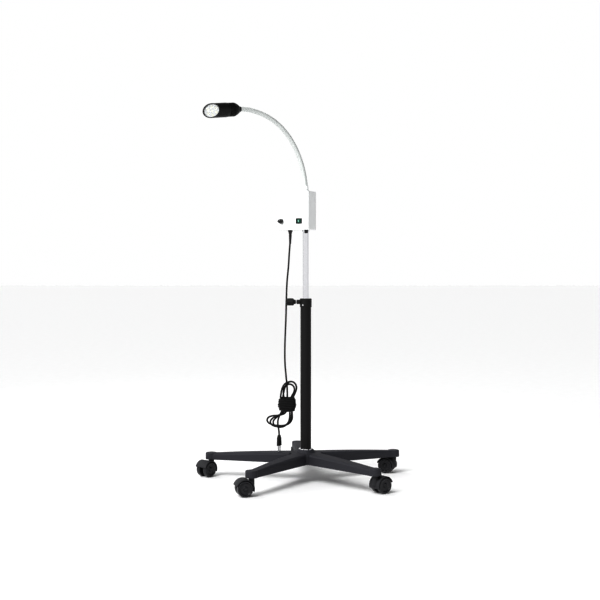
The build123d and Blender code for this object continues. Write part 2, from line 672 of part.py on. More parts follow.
with BuildPart() as box_front:
    with BuildSketch(front_plane(LID_BACK)):
        with Locations((BOX_MIDDLE, BOX_BOTTOM + BOX_HEIGHT / 2)):
            Rectangle(BOX_WIDTH, BOX_HEIGHT)
    extrude(amount=BOX_LID_DEPTH)
    fillet(box_front.edges().filter_by(out_of_front), BOX_CORNER / 2)
    fillet(box_front.edges().group_by(out_of_front)[-1], LID_EDGE)
    offset(amount=-BOX_WALL, openings=box_front.faces().sort_by(out_of_front)[0])
    with BuildSketch(front_plane(FRONT_FACE + BOX_WALL)):
        with Locations(*screw_places):
            Circle(POST_RADIUS)
    extrude(amount=-(BOX_DEPTH - 2 * BOX_WALL))
    with BuildSketch(front_plane(BACK_INSIDE)):
        with Locations(*screw_places):
            Circle(SCREW_RADIUS)
    extrude(amount=SCREW_BITE, mode=Mode.SUBTRACT)
    with BuildSketch(front_plane(FRONT_FACE)):
        with Locations((-SWITCH_FROM_POLE, CONTROL_HEIGHT)):
            Rectangle(SWITCH_WIDTH, SWITCH_HEIGHT)
        with Locations((-DIMMER_FROM_POLE, CONTROL_HEIGHT)):
            Circle(DIMMER_NECK_RADIUS)
    extrude(amount=-BOX_WALL, mode=Mode.SUBTRACT)
keep(box_front.part, "box_front")

with BuildPart() as box_screws:
    with BuildSketch(front_plane(BOX_DEPTH / 2)):
        with Locations(*screw_places):
            Circle(SCREW_RADIUS)
    extrude(amount=BOX_WALL + SCREW_BITE)
    with BuildSketch(front_plane(BOX_DEPTH / 2)):
        with Locations(*screw_places):
            Circle(SCREW_HEAD_RADIUS)
    extrude(amount=-SCREW_HEAD_HEIGHT)
keep(box_screws.part, "box_screws")

board_face = BACK_INSIDE - BOARD_STANDOFF
with BuildPart() as driver_board:
    with BuildSketch(front_plane(board_face)):
        with Locations(board_middle):
            Rectangle(BOARD_WIDTH, BOARD_HEIGHT)
    extrude(amount=BOARD_THICKNESS)
    with BuildSketch(front_plane(board_face - BOARD_THICKNESS)):
        with Locations((board_middle[0] - BOARD_WIDTH / 5, board_middle[1] + BOARD_HEIGHT / 5)):
            Rectangle(BOARD_WIDTH * 0.45, BOARD_HEIGHT * 0.3)
    extrude(amount=BOARD_STANDOFF)
    with BuildSketch(front_plane(board_face - BOARD_THICKNESS)):
        with Locations((board_middle[0] + BOARD_WIDTH / 4, board_middle[1])):
            with GridLocations(0, BOARD_HEIGHT / 3, 1, 2):
                Circle(BOARD_WIDTH / 12)
    extrude(amount=BOARD_STANDOFF * 0.8)
keep(driver_board.part, "driver_board")

# ---------------------------------------------------------------- rocker switch
with BuildPart() as rocker_housing:
    with BuildSketch(front_plane(FRONT_FACE)):
        with Locations((-SWITCH_FROM_POLE, CONTROL_HEIGHT)):
            Rectangle(SWITCH_WIDTH, SWITCH_HEIGHT)
    extrude(amount=-SWITCH_BODY_DEPTH)
    with BuildSketch(front_plane(FRONT_FACE)):
        with Locations((-SWITCH_FROM_POLE, CONTROL_HEIGHT)):
            RectangleRounded(SWITCH_WIDTH + 2 * SWITCH_RIM, SWITCH_HEIGHT + 2 * SWITCH_RIM, SWITCH_RIM)
    extrude(amount=SWITCH_RIM_HEIGHT)
    with BuildSketch(front_plane(FRONT_FACE - SWITCH_RIM_HEIGHT)):
        with Locations((-SWITCH_FROM_POLE, CONTROL_HEIGHT)):
            Rectangle(SWITCH_WIDTH - 2 * SWITCH_WALL, SWITCH_HEIGHT - 2 * SWITCH_WALL)
    extrude(amount=-(SWITCH_RIM_HEIGHT + SWITCH_BODY_DEPTH - SWITCH_WALL), mode=Mode.SUBTRACT)
    pivot = box_point(-SWITCH_FROM_POLE, FRONT_FACE + ROCKER_DEPTH / 2, CONTROL_HEIGHT)
    pivot_plane = Plane(origin=pivot, x_dir=ACROSS, z_dir=(0, 0, 1))
    with BuildSketch(pivot_plane):
        Circle(ROCKER_PIN_RADIUS + RUN_FIT)
    extrude(amount=SWITCH_HEIGHT / 2, both=True, mode=Mode.SUBTRACT)
keep(rocker_housing.part, "rocker_housing")

ROCKER_HALF = SWITCH_WIDTH / 2 - SWITCH_WALL - BODY_GAP
ROCKER_FACE = SWITCH_RIM_HEIGHT + ROCKER_PROUD + ROCKER_DEPTH / 2
ROCKER_SIDE = sqrt(ROCKER_HALF**2 - (ROCKER_HALF * sin(radians(ROCKER_TILT))) ** 2) - BODY_GAP
rocker_plane = Plane(
    origin=pivot, x_dir=ACROSS.rotate(Axis.Z, ROCKER_TILT), z_dir=(0, 0, 1)
)

with BuildPart() as rocker:
    with BuildSketch(rocker_plane):
        with BuildLine():
            Polyline(
                (-ROCKER_SIDE * 0.55, ROCKER_DEPTH / 2),
                (-ROCKER_SIDE + 0.8, -SWITCH_RIM_HEIGHT),
                (-ROCKER_SIDE + 0.8, -ROCKER_FACE),
            )
            ThreePointArc(
                (-ROCKER_SIDE + 0.8, -ROCKER_FACE), (0, -ROCKER_FACE + 1), (ROCKER_SIDE - 0.8, -ROCKER_FACE)
            )
            Polyline(
                (ROCKER_SIDE - 0.8, -ROCKER_FACE),
                (ROCKER_SIDE - 0.8, -SWITCH_RIM_HEIGHT),
                (ROCKER_SIDE * 0.55, ROCKER_DEPTH / 2),
                (-ROCKER_SIDE * 0.55, ROCKER_DEPTH / 2),
            )
        make_face()
    extrude(amount=SWITCH_HEIGHT / 2 - SWITCH_WALL - BODY_GAP, both=True)
    with BuildSketch(rocker_plane):
        Circle(ROCKER_PIN_RADIUS)
    extrude(amount=SWITCH_HEIGHT / 2 - BODY_GAP, both=True)
keep(rocker.part, "rocker")

# ---------------------------------------------------------------- dimmer
dimmer_place = (-DIMMER_FROM_POLE, CONTROL_HEIGHT)

with BuildPart() as dimmer_pot:
    with BuildSketch(front_plane(FRONT_FACE + BOX_WALL)):
        with Locations(dimmer_place):
            Circle(DIMMER_BODY_RADIUS)
    extrude(amount=-DIMMER_BODY_DEPTH)
    with BuildSketch(front_plane(FRONT_FACE + BOX_WALL)):
        with Locations(dimmer_place):
            Circle(DIMMER_NECK_RADIUS)
    extrude(amount=BOX_WALL + DIMMER_NECK_REACH)
    with BuildSketch(front_plane(FRONT_FACE - DIMMER_NECK_REACH)):
        with Locations(dimmer_place):
            Circle(DIMMER_SPINDLE_RADIUS + RUN_FIT)
    extrude(amount=-(BOX_WALL + DIMMER_NECK_REACH + DIMMER_BODY_DEPTH / 2), mode=Mode.SUBTRACT)
keep(dimmer_pot.part, "dimmer_pot")

with BuildPart() as dimmer_knob:
    with BuildSketch(front_plane(FRONT_FACE - BODY_GAP)):
        with Locations(dimmer_place):
            Circle(DIMMER_KNOB_RADIUS)
            with PolarLocations(DIMMER_KNOB_RADIUS, DIMMER_FLUTES):
                Circle(DIMMER_FLUTE_RADIUS, mode=Mode.SUBTRACT)
    extrude(amount=DIMMER_KNOB_LENGTH)
    with BuildSketch(front_plane(FRONT_FACE - BODY_GAP)):
        with Locations(dimmer_place):
            Circle(DIMMER_NECK_RADIUS + BODY_GAP)
    extrude(amount=DIMMER_NECK_REACH, mode=Mode.SUBTRACT)
    with BuildSketch(front_plane(FRONT_FACE - BODY_GAP - DIMMER_NECK_REACH)):
        with Locations(dimmer_place):
            Circle(DIMMER_SPINDLE_RADIUS)
    extrude(amount=-(BOX_WALL + DIMMER_NECK_REACH + DIMMER_BODY_DEPTH / 2 - 2 * BODY_GAP))
    with BuildSketch(front_plane(FRONT_FACE - BODY_GAP - DIMMER_KNOB_LENGTH)):
        with Locations((dimmer_place[0], dimmer_place[1] + DIMMER_KNOB_RADIUS / 2)):
            Rectangle(POINTER_WIDTH, DIMMER_KNOB_RADIUS)
    extrude(amount=-POINTER_WIDTH / 2, mode=Mode.SUBTRACT)
keep(dimmer_knob.part, "dimmer_knob")

# ---------------------------------------------------------------- fuse holder and cord gland
fuse_plane = Plane(origin=box_point(FUSE_FROM_POLE, -FUSE_FORWARD, BOX_BOTTOM), z_dir=(0, 0, 1))
with BuildPart() as fuse_holder:
    with BuildSketch(fuse_plane):
        Circle(FUSE_CAP_RADIUS)
    extrude(amount=-FUSE_CAP_HEIGHT)
    chamfer(fuse_holder.edges().group_by(Axis.Z)[0], 1)
    with BuildSketch(fuse_plane):
        Circle(FUSE_BODY_RADIUS)
    extrude(amount=FUSE_BODY_HEIGHT)
keep(fuse_holder.part, "fuse_holder")

gland_plane = Plane(origin=box_point(-GLAND_FROM_POLE, 0, BOX_BOTTOM), z_dir=(0, 0, 1))
with BuildPart() as cord_gland:
    with BuildSketch(gland_plane):
        RegularPolygon(GLAND_RADIUS + 1, 6)
    extrude(amount=-GLAND_NUT_HEIGHT)
    with BuildSketch(gland_plane.offset(-GLAND_NUT_HEIGHT)):
        Circle(GLAND_RADIUS)
    with BuildSketch(gland_plane.offset(-GLAND_HEIGHT)):
        Circle(CORD_DIAMETER / 2 + 1)
    loft()
    with BuildSketch(gland_plane):
        Circle(GLAND_THREAD_RADIUS)
    extrude(amount=BOX_WALL + GLAND_NUT_HEIGHT)
keep(cord_gland.part, "cord_gland")

# ================================================================ gooseneck
CUP_RADIUS = BALL_RADIUS + BODY_GAP
ARM_RADIUS = ARM_DIAMETER / 2
ARM_OUT = Vector(cos(radians(ARM_HEADING)), sin(radians(ARM_HEADING)), 0)
UP = Vector(0, 0, 1)
cup_mouth = sqrt(CUP_RADIUS**2 - CUP_LIP**2)


def leaning(tilt):
    """The direction that leans out along the arm by a tilt from upright, in degrees."""
    return ARM_OUT * sin(radians(tilt)) + UP * cos(radians(tilt))


def profile_plane(joint, tilt):
    """A plane through a piece's own axis: x is out from the axis, y is along it."""
    along = leaning(tilt)
    out = ARM_OUT * cos(radians(tilt)) - UP * sin(radians(tilt))
    return Plane(origin=joint, x_dir=out, z_dir=out.cross(along))


first_joint = Vector(0, 0, BOX_TOP + FERRULE_HEIGHT)
joints = [first_joint]
for tilt in LINK_TILTS:
    joints.append(joints[-1] + leaning(tilt) * LINK_PITCH)

with BuildPart() as arm_ferrule:
    with BuildSketch(Plane.XY.offset(BOX_TOP)):
        Circle(FERRULE_FOOT_RADIUS)
    extrude(amount=FERRULE_FOOT_HEIGHT)
    with BuildSketch(Plane.XY.offset(BOX_TOP)):
        Circle(FERRULE_RADIUS)
    extrude(amount=FERRULE_HEIGHT + CUP_LIP)
    with BuildSketch(Plane.XY.offset(BOX_TOP)):
        Circle(FERRULE_THREAD_RADIUS)
    extrude(amount=-FERRULE_THREAD_LENGTH)
    with BuildSketch(Plane.XY.offset(BOX_TOP - BOX_WALL)):
        RegularPolygon(FERRULE_NUT_RADIUS, 6)
    extrude(amount=-FERRULE_NUT_HEIGHT)
    with Locations(first_joint):
        Sphere(CUP_RADIUS, mode=Mode.SUBTRACT)
keep(arm_ferrule.part, "arm_ferrule")

groove_pitch = (LINK_PITCH + CUP_LIP - BARREL_START) / (GROOVE_COUNT + 1)
for number, (joint, tilt) in enumerate(zip(joints, LINK_TILTS), start=1):
    with BuildPart() as link:
        with BuildSketch(profile_plane(joint, tilt)):
            with BuildLine():
                JernArc((0, -BALL_RADIUS), (1, 0), BALL_RADIUS, BALL_ARC)
                outline = [(BALL_RADIUS * sin(radians(BALL_ARC)), -BALL_RADIUS * cos(radians(BALL_ARC)))]
                outline += [(outline[0][0], BARREL_START), (ARM_RADIUS - GROOVE_DEPTH, BARREL_START)]
                outline += [(ARM_RADIUS, BARREL_START + GROOVE_DEPTH)]
                for i in range(GROOVE_COUNT):
                    middle = BARREL_START + (i + 1) * groove_pitch
                    outline += [
                        (ARM_RADIUS, middle - GROOVE_DEPTH),
                        (ARM_RADIUS - GROOVE_DEPTH, middle),
                        (ARM_RADIUS, middle + GROOVE_DEPTH),
                    ]
                outline += [(ARM_RADIUS, LINK_PITCH + CUP_LIP), (cup_mouth, LINK_PITCH + CUP_LIP)]
                Polyline(*outline)
                ThreePointArc(
                    (cup_mouth, LINK_PITCH + CUP_LIP),
                    (CUP_RADIUS * cos(radians(45)), LINK_PITCH - CUP_RADIUS * sin(radians(45))),
                    (0, LINK_PITCH - CUP_RADIUS),
                )
                Line((0, LINK_PITCH - CUP_RADIUS), (0, -BALL_RADIUS))
            make_face()
        revolve(axis=Axis(joint, leaning(tilt)))
    keep(link.part, f"gooseneck_link_{number}")

# ================================================================ lamp head
last_joint = joints[-1]
head_axis = leaning(HEAD_TILT)
head_line = Axis(last_joint, head_axis)
head_profile = profile_plane(last_joint, HEAD_TILT)
CAP_START = HEAD_NECK_LENGTH
CAP_END = CAP_START + CAP_LENGTH
FINS_END = CAP_END + FIN_COUNT * FIN_PITCH
FACE_AT = CAP_START + HEAD_LENGTH
HEAD_RADIUS = HEAD_DIAMETER / 2
HEAD_BORE = HEAD_RADIUS - HEAD_WALL
face_out = Vector(
    sin(radians(FACE_LEAN)) * cos(radians(FACE_HEADING)),
    sin(radians(FACE_LEAN)) * sin(radians(FACE_HEADING)),
    cos(radians(FACE_LEAN)),
)
face_middle = last_joint + head_axis * FACE_AT
face_cosine = face_out.dot(head_axis)
face_across = (head_axis - face_out * face_cosine).normalized()
face_plane = Plane(origin=face_middle, x_dir=face_across, z_dir=face_out)


def slice_plane(depth):
    """A plane parallel to the face, a depth behind it; its origin stays on the head's axis."""
    return Plane(origin=face_middle - head_axis * (depth / face_cosine), x_dir=face_across, z_dir=face_out)


with BuildPart() as head_cap:
    with BuildSketch(head_profile):
        with BuildLine():
            JernArc((0, -BALL_RADIUS), (1, 0), BALL_RADIUS, BALL_ARC)
            Polyline(
                (BALL_RADIUS * sin(radians(BALL_ARC)), -BALL_RADIUS * cos(radians(BALL_ARC))),
                (BALL_RADIUS * sin(radians(BALL_ARC)), BARREL_START),
                (HEAD_NECK_RADIUS, BARREL_START),
                (HEAD_NECK_RADIUS, CAP_START),
                (CAP_TIP_RADIUS, CAP_START),
            )
            RadiusArc((CAP_TIP_RADIUS, CAP_START), (CAP_BASE_RADIUS, CAP_END), 3 * CAP_LENGTH)
            Polyline((CAP_BASE_RADIUS, CAP_END), (0, CAP_END), (0, -BALL_RADIUS))
        make_face()
    revolve(axis=head_line)
keep(head_cap.part, "head_cap")

with BuildPart() as heat_sink:
    with BuildSketch(head_profile):
        with Locations(((FIN_ROOT_RADIUS) / 2, (CAP_END + FINS_END) / 2)):
            Rectangle(FIN_ROOT_RADIUS, FINS_END - CAP_END)
        for i in range(FIN_COUNT):
            fin_middle = CAP_END + (i + 1) * FIN_PITCH - FIN_THICKNESS / 2
            with Locations(((CAP_BASE_RADIUS + 0.5) / 2, fin_middle)):
                Rectangle(CAP_BASE_RADIUS + 0.5, FIN_THICKNESS)
    revolve(axis=head_line)
keep(heat_sink.part, "heat_sink")

with BuildPart() as head_barrel:
    with BuildSketch(head_profile):
        with BuildLine():
            reach = FACE_AT + HEAD_DIAMETER
            Polyline(
                (0, FINS_END),
                (CAP_BASE_RADIUS + 0.5, FINS_END),
                (HEAD_RADIUS, FINS_END + HEAD_WALL * 4),
                (HEAD_RADIUS, reach),
                (HEAD_BORE, reach),
                (HEAD_BORE, FINS_END + HEAD_WALL),
                (0, FINS_END + HEAD_WALL),
                close=True,
            )
        make_face()
    revolve(axis=head_line)
    split(bisect_by=face_plane, keep=Keep.BOTTOM)
keep(head_barrel.part, "head_barrel")


def head_ellipse(radius):
    """The half width and half height where a cylinder about the head's axis meets the face."""
    return radius / face_cosine, radius


with BuildPart() as head_bezel:
    with BuildSketch(face_plane):
        Ellipse(*head_ellipse(HEAD_RADIUS))
        Ellipse(*head_ellipse(HEAD_RADIUS - BEZEL_RIM), mode=Mode.SUBTRACT)
    extrude(amount=BEZEL_HEIGHT)
keep(head_bezel.part, "head_bezel")

with BuildPart() as head_lens:
    with BuildSketch(slice_plane(LENS_DEPTH)):
        Ellipse(*head_ellipse(HEAD_BORE))
    extrude(amount=-LENS_THICKNESS / face_cosine, dir=head_axis)
keep(head_lens.part, "head_lens")

reflector_front = LENS_DEPTH + LENS_THICKNESS
reflector_back = reflector_front + REFLECTOR_THICKNESS
ring_angles = [360 / CUP_RING_COUNT * (i + 0.5) for i in range(CUP_RING_COUNT)]
cup_places = [(0, 0)] + [
    (CUP_RING_ACROSS * cos(radians(a)), CUP_RING_UP * sin(radians(a))) for a in ring_angles
]
cup_front = Plane(origin=face_middle - face_out * reflector_front, x_dir=face_across, z_dir=face_out)
cup_back = cup_front.offset(-REFLECTOR_THICKNESS)

with BuildPart() as reflector:
    with BuildSketch(slice_plane(reflector_front)):
        Ellipse(*head_ellipse(HEAD_BORE))
    extrude(amount=-REFLECTOR_THICKNESS / face_cosine, dir=head_axis)
    for place in cup_places:
        with BuildSketch(cup_front):
            with Locations(place):
                Circle(CUP_MOUTH_RADIUS)
        with BuildSketch(cup_back):
            with Locations(place):
                Circle(CUP_FOOT_RADIUS)
        loft(mode=Mode.SUBTRACT)
keep(reflector.part, "reflector")

with BuildPart() as led_board:
    with BuildSketch(slice_plane(reflector_back)):
        Ellipse(*head_ellipse(HEAD_BORE))
    extrude(amount=-LED_BOARD_THICKNESS / face_cosine, dir=head_axis)
    with BuildSketch(cup_back):
        with Locations(*cup_places):
            Circle(EMITTER_RADIUS)
    extrude(amount=EMITTER_FOOT)
    for place in cup_places:
        with BuildSketch(cup_back.offset(EMITTER_FOOT)):
            with Locations(place):
                Circle(EMITTER_RADIUS)
        with BuildSketch(cup_back.offset(EMITTER_FOOT + EMITTER_RADIUS * 0.7)):
            with Locations(place):
                Circle(EMITTER_RADIUS * 0.5)
        loft()
keep(led_board.part, "led_board")

# ================================================================ mains cord


def bend_radii(route):
    """The largest arc that each corner's shorter run allows."""
    radii = []
    for before, corner, after in zip(route, route[1:], route[2:]):
        come = Vector(*corner) - Vector(*before)
        leave = Vector(*after) - Vector(*corner)
        half_turn = radians(come.get_angle(leave)) / 2
        radii.append(0.45 * min(come.length, leave.length) / tan(half_turn))
    return radii


def cord_tube(route):
    """A round tube along straight runs joined by tangent arcs, and its centre line's length."""
    radii = bend_radii(route)
    print("cord bend radii:", [round(r) for r in radii])
    with BuildPart() as tube:
        with BuildLine() as line:
            FilletPolyline(*route, radius=radii)
        with BuildSketch(Plane(origin=route[0], z_dir=line.line % 0)):
            Circle(CORD_DIAMETER / 2)
        sweep(path=line.line)
    length = sum(edge.length for edge in line.edges())
    section = pi * (CORD_DIAMETER / 2) ** 2
    print("cord tube length:", round(length, 1), "volume over section times length:", round(tube.part.volume / section / length, 4))
    return tube.part


keep(cord_tube(DROP_ROUTE), "cord_drop")
keep(cord_tube(TAIL_ROUTE), "cord_tail")

hank_plane = Plane(origin=(0, CORD_DEPTH, 0), x_dir=(1, 0, 0), z_dir=(0, -1, 0))
with BuildPart() as cord_hank:
    middle_x, middle_z, width, height, depth = HANK_WRAP
    with BuildSketch(Plane(origin=(middle_x, CORD_DEPTH, middle_z - height / 2), z_dir=(0, 0, 1))):
        RectangleRounded(width, depth, HANK_WRAP_CORNER)
    extrude(amount=height)
    middle_x, middle_z, half_width, half_height, depth = HANK_UPPER
    with BuildSketch(hank_plane):
        with Locations((middle_x, middle_z)):
            Ellipse(half_width, half_height)
    extrude(amount=depth / 2, both=True)
    middle_x, middle_z, half_width, half_height, depth = HANK_LOWER
    with BuildSketch(hank_plane):
        with Locations((middle_x, middle_z)):
            Ellipse(half_width, half_height, rotation=HANK_LOWER_TILT)
    extrude(amount=depth / 2, both=True)
    drop_end = Vector(*DROP_ROUTE[-1])
    with BuildSketch(Plane(origin=drop_end, z_dir=drop_end - Vector(*DROP_ROUTE[-2]))):
        Circle(CORD_DIAMETER / 2)
    extrude(amount=drop_end.Z - HANK_UPPER[1])
keep(cord_hank.part, "cord_hank")

plug_top = Vector(*TAIL_ROUTE[-1])
plug_plane = Plane(
    origin=plug_top, x_dir=(cos(radians(PLUG_TURN)), sin(radians(PLUG_TURN)), 0), z_dir=(0, 0, 1)
)
with BuildPart() as plug_body:
    with BuildSketch(plug_plane):
        Circle(PLUG_NECK_RADIUS)
    with BuildSketch(plug_plane.offset(-PLUG_NECK_LENGTH)):
        Ellipse(PLUG_WIDTH / 3, PLUG_THICKNESS / 2)
    loft()
    with BuildSketch(plug_plane.offset(-PLUG_NECK_LENGTH)):
        Ellipse(PLUG_WIDTH / 3, PLUG_THICKNESS / 2)
    with BuildSketch(plug_plane.offset(-PLUG_LENGTH)):
        Ellipse(PLUG_WIDTH / 2, PLUG_THICKNESS / 2)
    loft()
keep(plug_body.part, "plug_body")

with BuildPart() as plug_pins:
    with BuildSketch(plug_plane.offset(-PLUG_LENGTH)):
        with GridLocations(PLUG_PIN_SPACING, 0, 2, 1):
            Circle(PLUG_PIN_RADIUS)
    extrude(amount=-PLUG_PIN_LENGTH)
keep(plug_pins.part, "plug_pins")
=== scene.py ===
"""Looks of the mobile examination lamp: its cord, hose, head, casters, knobs and finishes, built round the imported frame."""

import json
import logging
from dataclasses import dataclass, field
from enum import Enum
from typing import Any

import bmesh
import bpy
import numpy as np
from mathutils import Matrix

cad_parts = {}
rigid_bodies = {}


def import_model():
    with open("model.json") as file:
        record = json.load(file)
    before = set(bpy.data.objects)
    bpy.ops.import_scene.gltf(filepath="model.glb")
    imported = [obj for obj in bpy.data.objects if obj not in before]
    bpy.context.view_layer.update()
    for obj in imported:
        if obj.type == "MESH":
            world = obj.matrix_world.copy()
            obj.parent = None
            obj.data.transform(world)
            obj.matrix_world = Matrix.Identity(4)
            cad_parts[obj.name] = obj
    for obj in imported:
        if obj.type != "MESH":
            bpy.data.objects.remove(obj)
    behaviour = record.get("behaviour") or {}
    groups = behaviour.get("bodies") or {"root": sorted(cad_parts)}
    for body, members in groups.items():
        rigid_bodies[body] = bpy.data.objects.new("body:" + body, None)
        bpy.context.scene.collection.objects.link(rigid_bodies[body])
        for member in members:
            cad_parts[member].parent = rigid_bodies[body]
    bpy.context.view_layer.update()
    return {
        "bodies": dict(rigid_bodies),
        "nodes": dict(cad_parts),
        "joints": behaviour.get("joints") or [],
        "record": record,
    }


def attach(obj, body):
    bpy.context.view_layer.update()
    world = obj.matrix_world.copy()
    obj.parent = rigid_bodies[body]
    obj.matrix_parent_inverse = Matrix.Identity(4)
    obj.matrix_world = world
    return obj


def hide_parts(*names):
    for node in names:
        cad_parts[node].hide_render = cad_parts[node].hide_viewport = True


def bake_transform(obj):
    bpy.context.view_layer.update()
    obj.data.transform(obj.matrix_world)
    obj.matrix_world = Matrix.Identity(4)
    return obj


LOG = logging.getLogger("examination_lamp")
Array = np.ndarray


class Pattern(Enum):
    """How the small relief of a finish runs over a surface."""

    SPECKLED = "speckled"
    BRUSHED = "brushed"
    SMOOTH = "smooth"


# ---------------------------------------------------------------- finishes


@dataclass(frozen=True)
class Finish:
    """One surface finish: its colour, gloss and the fine relief that keeps it from looking flat."""

    name: str
    colour: tuple[float, float, float]
    roughness: float
    metallic: float = 0.0
    mottle: float = 0.12
    mottle_scale: float = 18.0
    spread: float = 0.06
    grain_scale: float = 900.0
    relief: float = 0.00004
    pattern: Pattern = Pattern.SPECKLED
    coat: float = 0.0
    stretch: tuple[float, float, float] = (1.0, 1.0, 1.0)
    specular: float = 0.5
    transmission: float = 0.0
    glow: float = 0.0

    def material(self) -> bpy.types.Material:
        """Builds the finish's node material.

        Returns:
            The material, with colour, roughness and bump driven by noise on Object coordinates.
        """
        made = bpy.data.materials.get(self.name)
        if made is not None:
            return made
        made = bpy.data.materials.new(self.name)
        made.use_nodes = True
        tree = made.node_tree
        nodes, links = tree.nodes, tree.links
        shader = nodes["Principled BSDF"]
        shader.inputs["Metallic"].default_value = self.metallic
        shader.inputs["Specular IOR Level"].default_value = self.specular
        shader.inputs["Coat Weight"].default_value = self.coat
        shader.inputs["Coat Roughness"].default_value = 0.08
        shader.inputs["Transmission Weight"].default_value = self.transmission
        if self.glow:
            shader.inputs["Emission Color"].default_value = (*self.colour, 1.0)
            shader.inputs["Emission Strength"].default_value = self.glow
        place = nodes.new("ShaderNodeTexCoord")
        turn = nodes.new("ShaderNodeMapping")
        turn.inputs["Scale"].default_value = self.stretch
        links.new(place.outputs["Object"], turn.inputs["Vector"])
        clouds = self._noise(nodes, links, turn, self.mottle_scale, 4.0)
        shade = nodes.new("ShaderNodeValToRGB")
        dark = tuple(c * (1.0 - self.mottle) for c in self.colour)
        light = tuple(min(1.0, c * (1.0 + self.mottle)) for c in self.colour)
        shade.color_ramp.elements[0].position = 0.35
        shade.color_ramp.elements[0].color = (*dark, 1.0)
        shade.color_ramp.elements[1].position = 0.65
        shade.color_ramp.elements[1].color = (*light, 1.0)
        links.new(clouds.outputs["Fac"], shade.inputs["Fac"])
        links.new(shade.outputs["Color"], shader.inputs["Base Color"])
        gloss = nodes.new("ShaderNodeMapRange")
        gloss.inputs["From Min"].default_value = 0.3
        gloss.inputs["From Max"].default_value = 0.7
        gloss.inputs["To Min"].default_value = max(0.0, self.roughness - self.spread)
        gloss.inputs["To Max"].default_value = min(1.0, self.roughness + self.spread)
        wear = self._noise(nodes, links, turn, self.mottle_scale * 3.1, 5.0)
        links.new(wear.outputs["Fac"], gloss.inputs["Value"])
        links.new(gloss.outputs["Result"], shader.inputs["Roughness"])
        if self.pattern is not Pattern.SMOOTH:
            grain = self._noise(nodes, links, turn, self.grain_scale, 2.0)
            bump = nodes.new("ShaderNodeBump")
            bump.inputs["Distance"].default_value = self.relief
            bump.inputs["Strength"].default_value = 1.0 if self.pattern is Pattern.SPECKLED else 0.5
            links.new(grain.outputs["Fac"], bump.inputs["Height"])
            links.new(bump.outputs["Normal"], shader.inputs["Normal"])
        return made

    @staticmethod
    def _noise(nodes: Any, links: Any, source: Any, scale: float, detail: float) -> Any:
        """Adds one noise texture.

        Args:
            nodes: The material's nodes.
            links: The material's links.
            source: The mapping node that places it.
            scale: Cells per metre.
            detail: Octaves.

        Returns:
            The noise node.
        """
        noise = nodes.new("ShaderNodeTexNoise")
        noise.inputs["Scale"].default_value = scale
        noise.inputs["Detail"].default_value = detail
        links.new(source.outputs["Vector"], noise.inputs["Vector"])
        return noise


BASE_NYLON = Finish("base_nylon", (0.011, 0.0115, 0.013), 0.44, mottle=0.25, specular=0.18, grain_scale=1400.0, relief=0.00001)
CASTER_NYLON = Finish("caster_nylon", (0.006, 0.006, 0.007), 0.34, specular=0.2, grain_scale=1500.0, relief=0.00001)
WHEEL_TREAD = Finish("wheel_tread", (0.004, 0.004, 0.0045), 0.26, specular=0.25, mottle=0.25, mottle_scale=60.0, relief=0.00001)
COLUMN_BLACK = Finish("column_black", (0.005, 0.005, 0.0055), 0.24, coat=0.0, specular=0.2, grain_scale=600.0, relief=0.000005)
CHROME = Finish("pole_chrome", (0.62, 0.62, 0.63), 0.12, metallic=1.0, mottle=0.03, spread=0.04, pattern=Pattern.SMOOTH)
STEEL = Finish("bare_steel", (0.52, 0.52, 0.53), 0.30, metallic=1.0, pattern=Pattern.BRUSHED, stretch=(1.0, 1.0, 0.08))
BRASS = Finish("pad_brass", (0.72, 0.52, 0.24), 0.28, metallic=1.0, pattern=Pattern.BRUSHED)
ACETAL = Finish("bush_acetal", (0.66, 0.66, 0.62), 0.45)
KNOB_BLACK = Finish("knob_black", (0.006, 0.006, 0.0065), 0.36, specular=0.4, grain_scale=1800.0, relief=0.00004)
POWDER_WHITE = Finish("box_white", (0.84, 0.85, 0.85), 0.44, mottle=0.02, grain_scale=1100.0, relief=0.00005)
CONTROL_BLACK = Finish("control_black", (0.007, 0.007, 0.0075), 0.30, specular=0.4, relief=0.00001)
SWITCH_GREEN = Finish("switch_green", (0.004, 0.060, 0.042), 0.18, coat=0.5, pattern=Pattern.SMOOTH)
MARK_GREEN = Finish("mark_green", (0.42, 0.72, 0.62), 0.35, pattern=Pattern.SMOOTH)
PRINT_GREY = Finish("print_grey", (0.10, 0.10, 0.10), 0.5, pattern=Pattern.SMOOTH)
BOARD_GREEN = Finish("board_green", (0.02, 0.16, 0.06), 0.4)
CORD_BLACK = Finish(
    "cord_black", (0.005, 0.005, 0.0055), 0.42,
    mottle=0.2, specular=0.2, mottle_scale=40.0, grain_scale=1600.0, relief=0.00003,
)
HOSE_SILVER = Finish("arm_silver", (0.60, 0.63, 0.62), 0.34, metallic=0.55, mottle=0.05, grain_scale=700.0, relief=0.00002)
HEAD_BLACK = Finish("head_black", (0.006, 0.0075, 0.009), 0.33, specular=0.3, mottle=0.2, grain_scale=1200.0, relief=0.00004)
LENS_CLEAR = Finish("lens_clear", (0.96, 0.98, 0.98), 0.03, transmission=1.0, mottle=0.01, spread=0.02, pattern=Pattern.SMOOTH)
REFLECTOR = Finish("reflector_silver", (0.90, 0.91, 0.92), 0.22, metallic=0.35, mottle=0.03, pattern=Pattern.SMOOTH)
LED_DOME = Finish("led_yellow", (0.95, 0.94, 0.85), 0.2, glow=0.5, pattern=Pattern.SMOOTH)
FLOOR_PALE = Finish("studio_floor", (0.93, 0.93, 0.93), 0.85, mottle=0.01, pattern=Pattern.SMOOTH)

# ---------------------------------------------------------------- surfaces


def unit(vector: Array) -> Array:
    """Returns a vector, or each row of several, at length one."""
    return vector / np.linalg.norm(vector, axis=-1, keepdims=True)


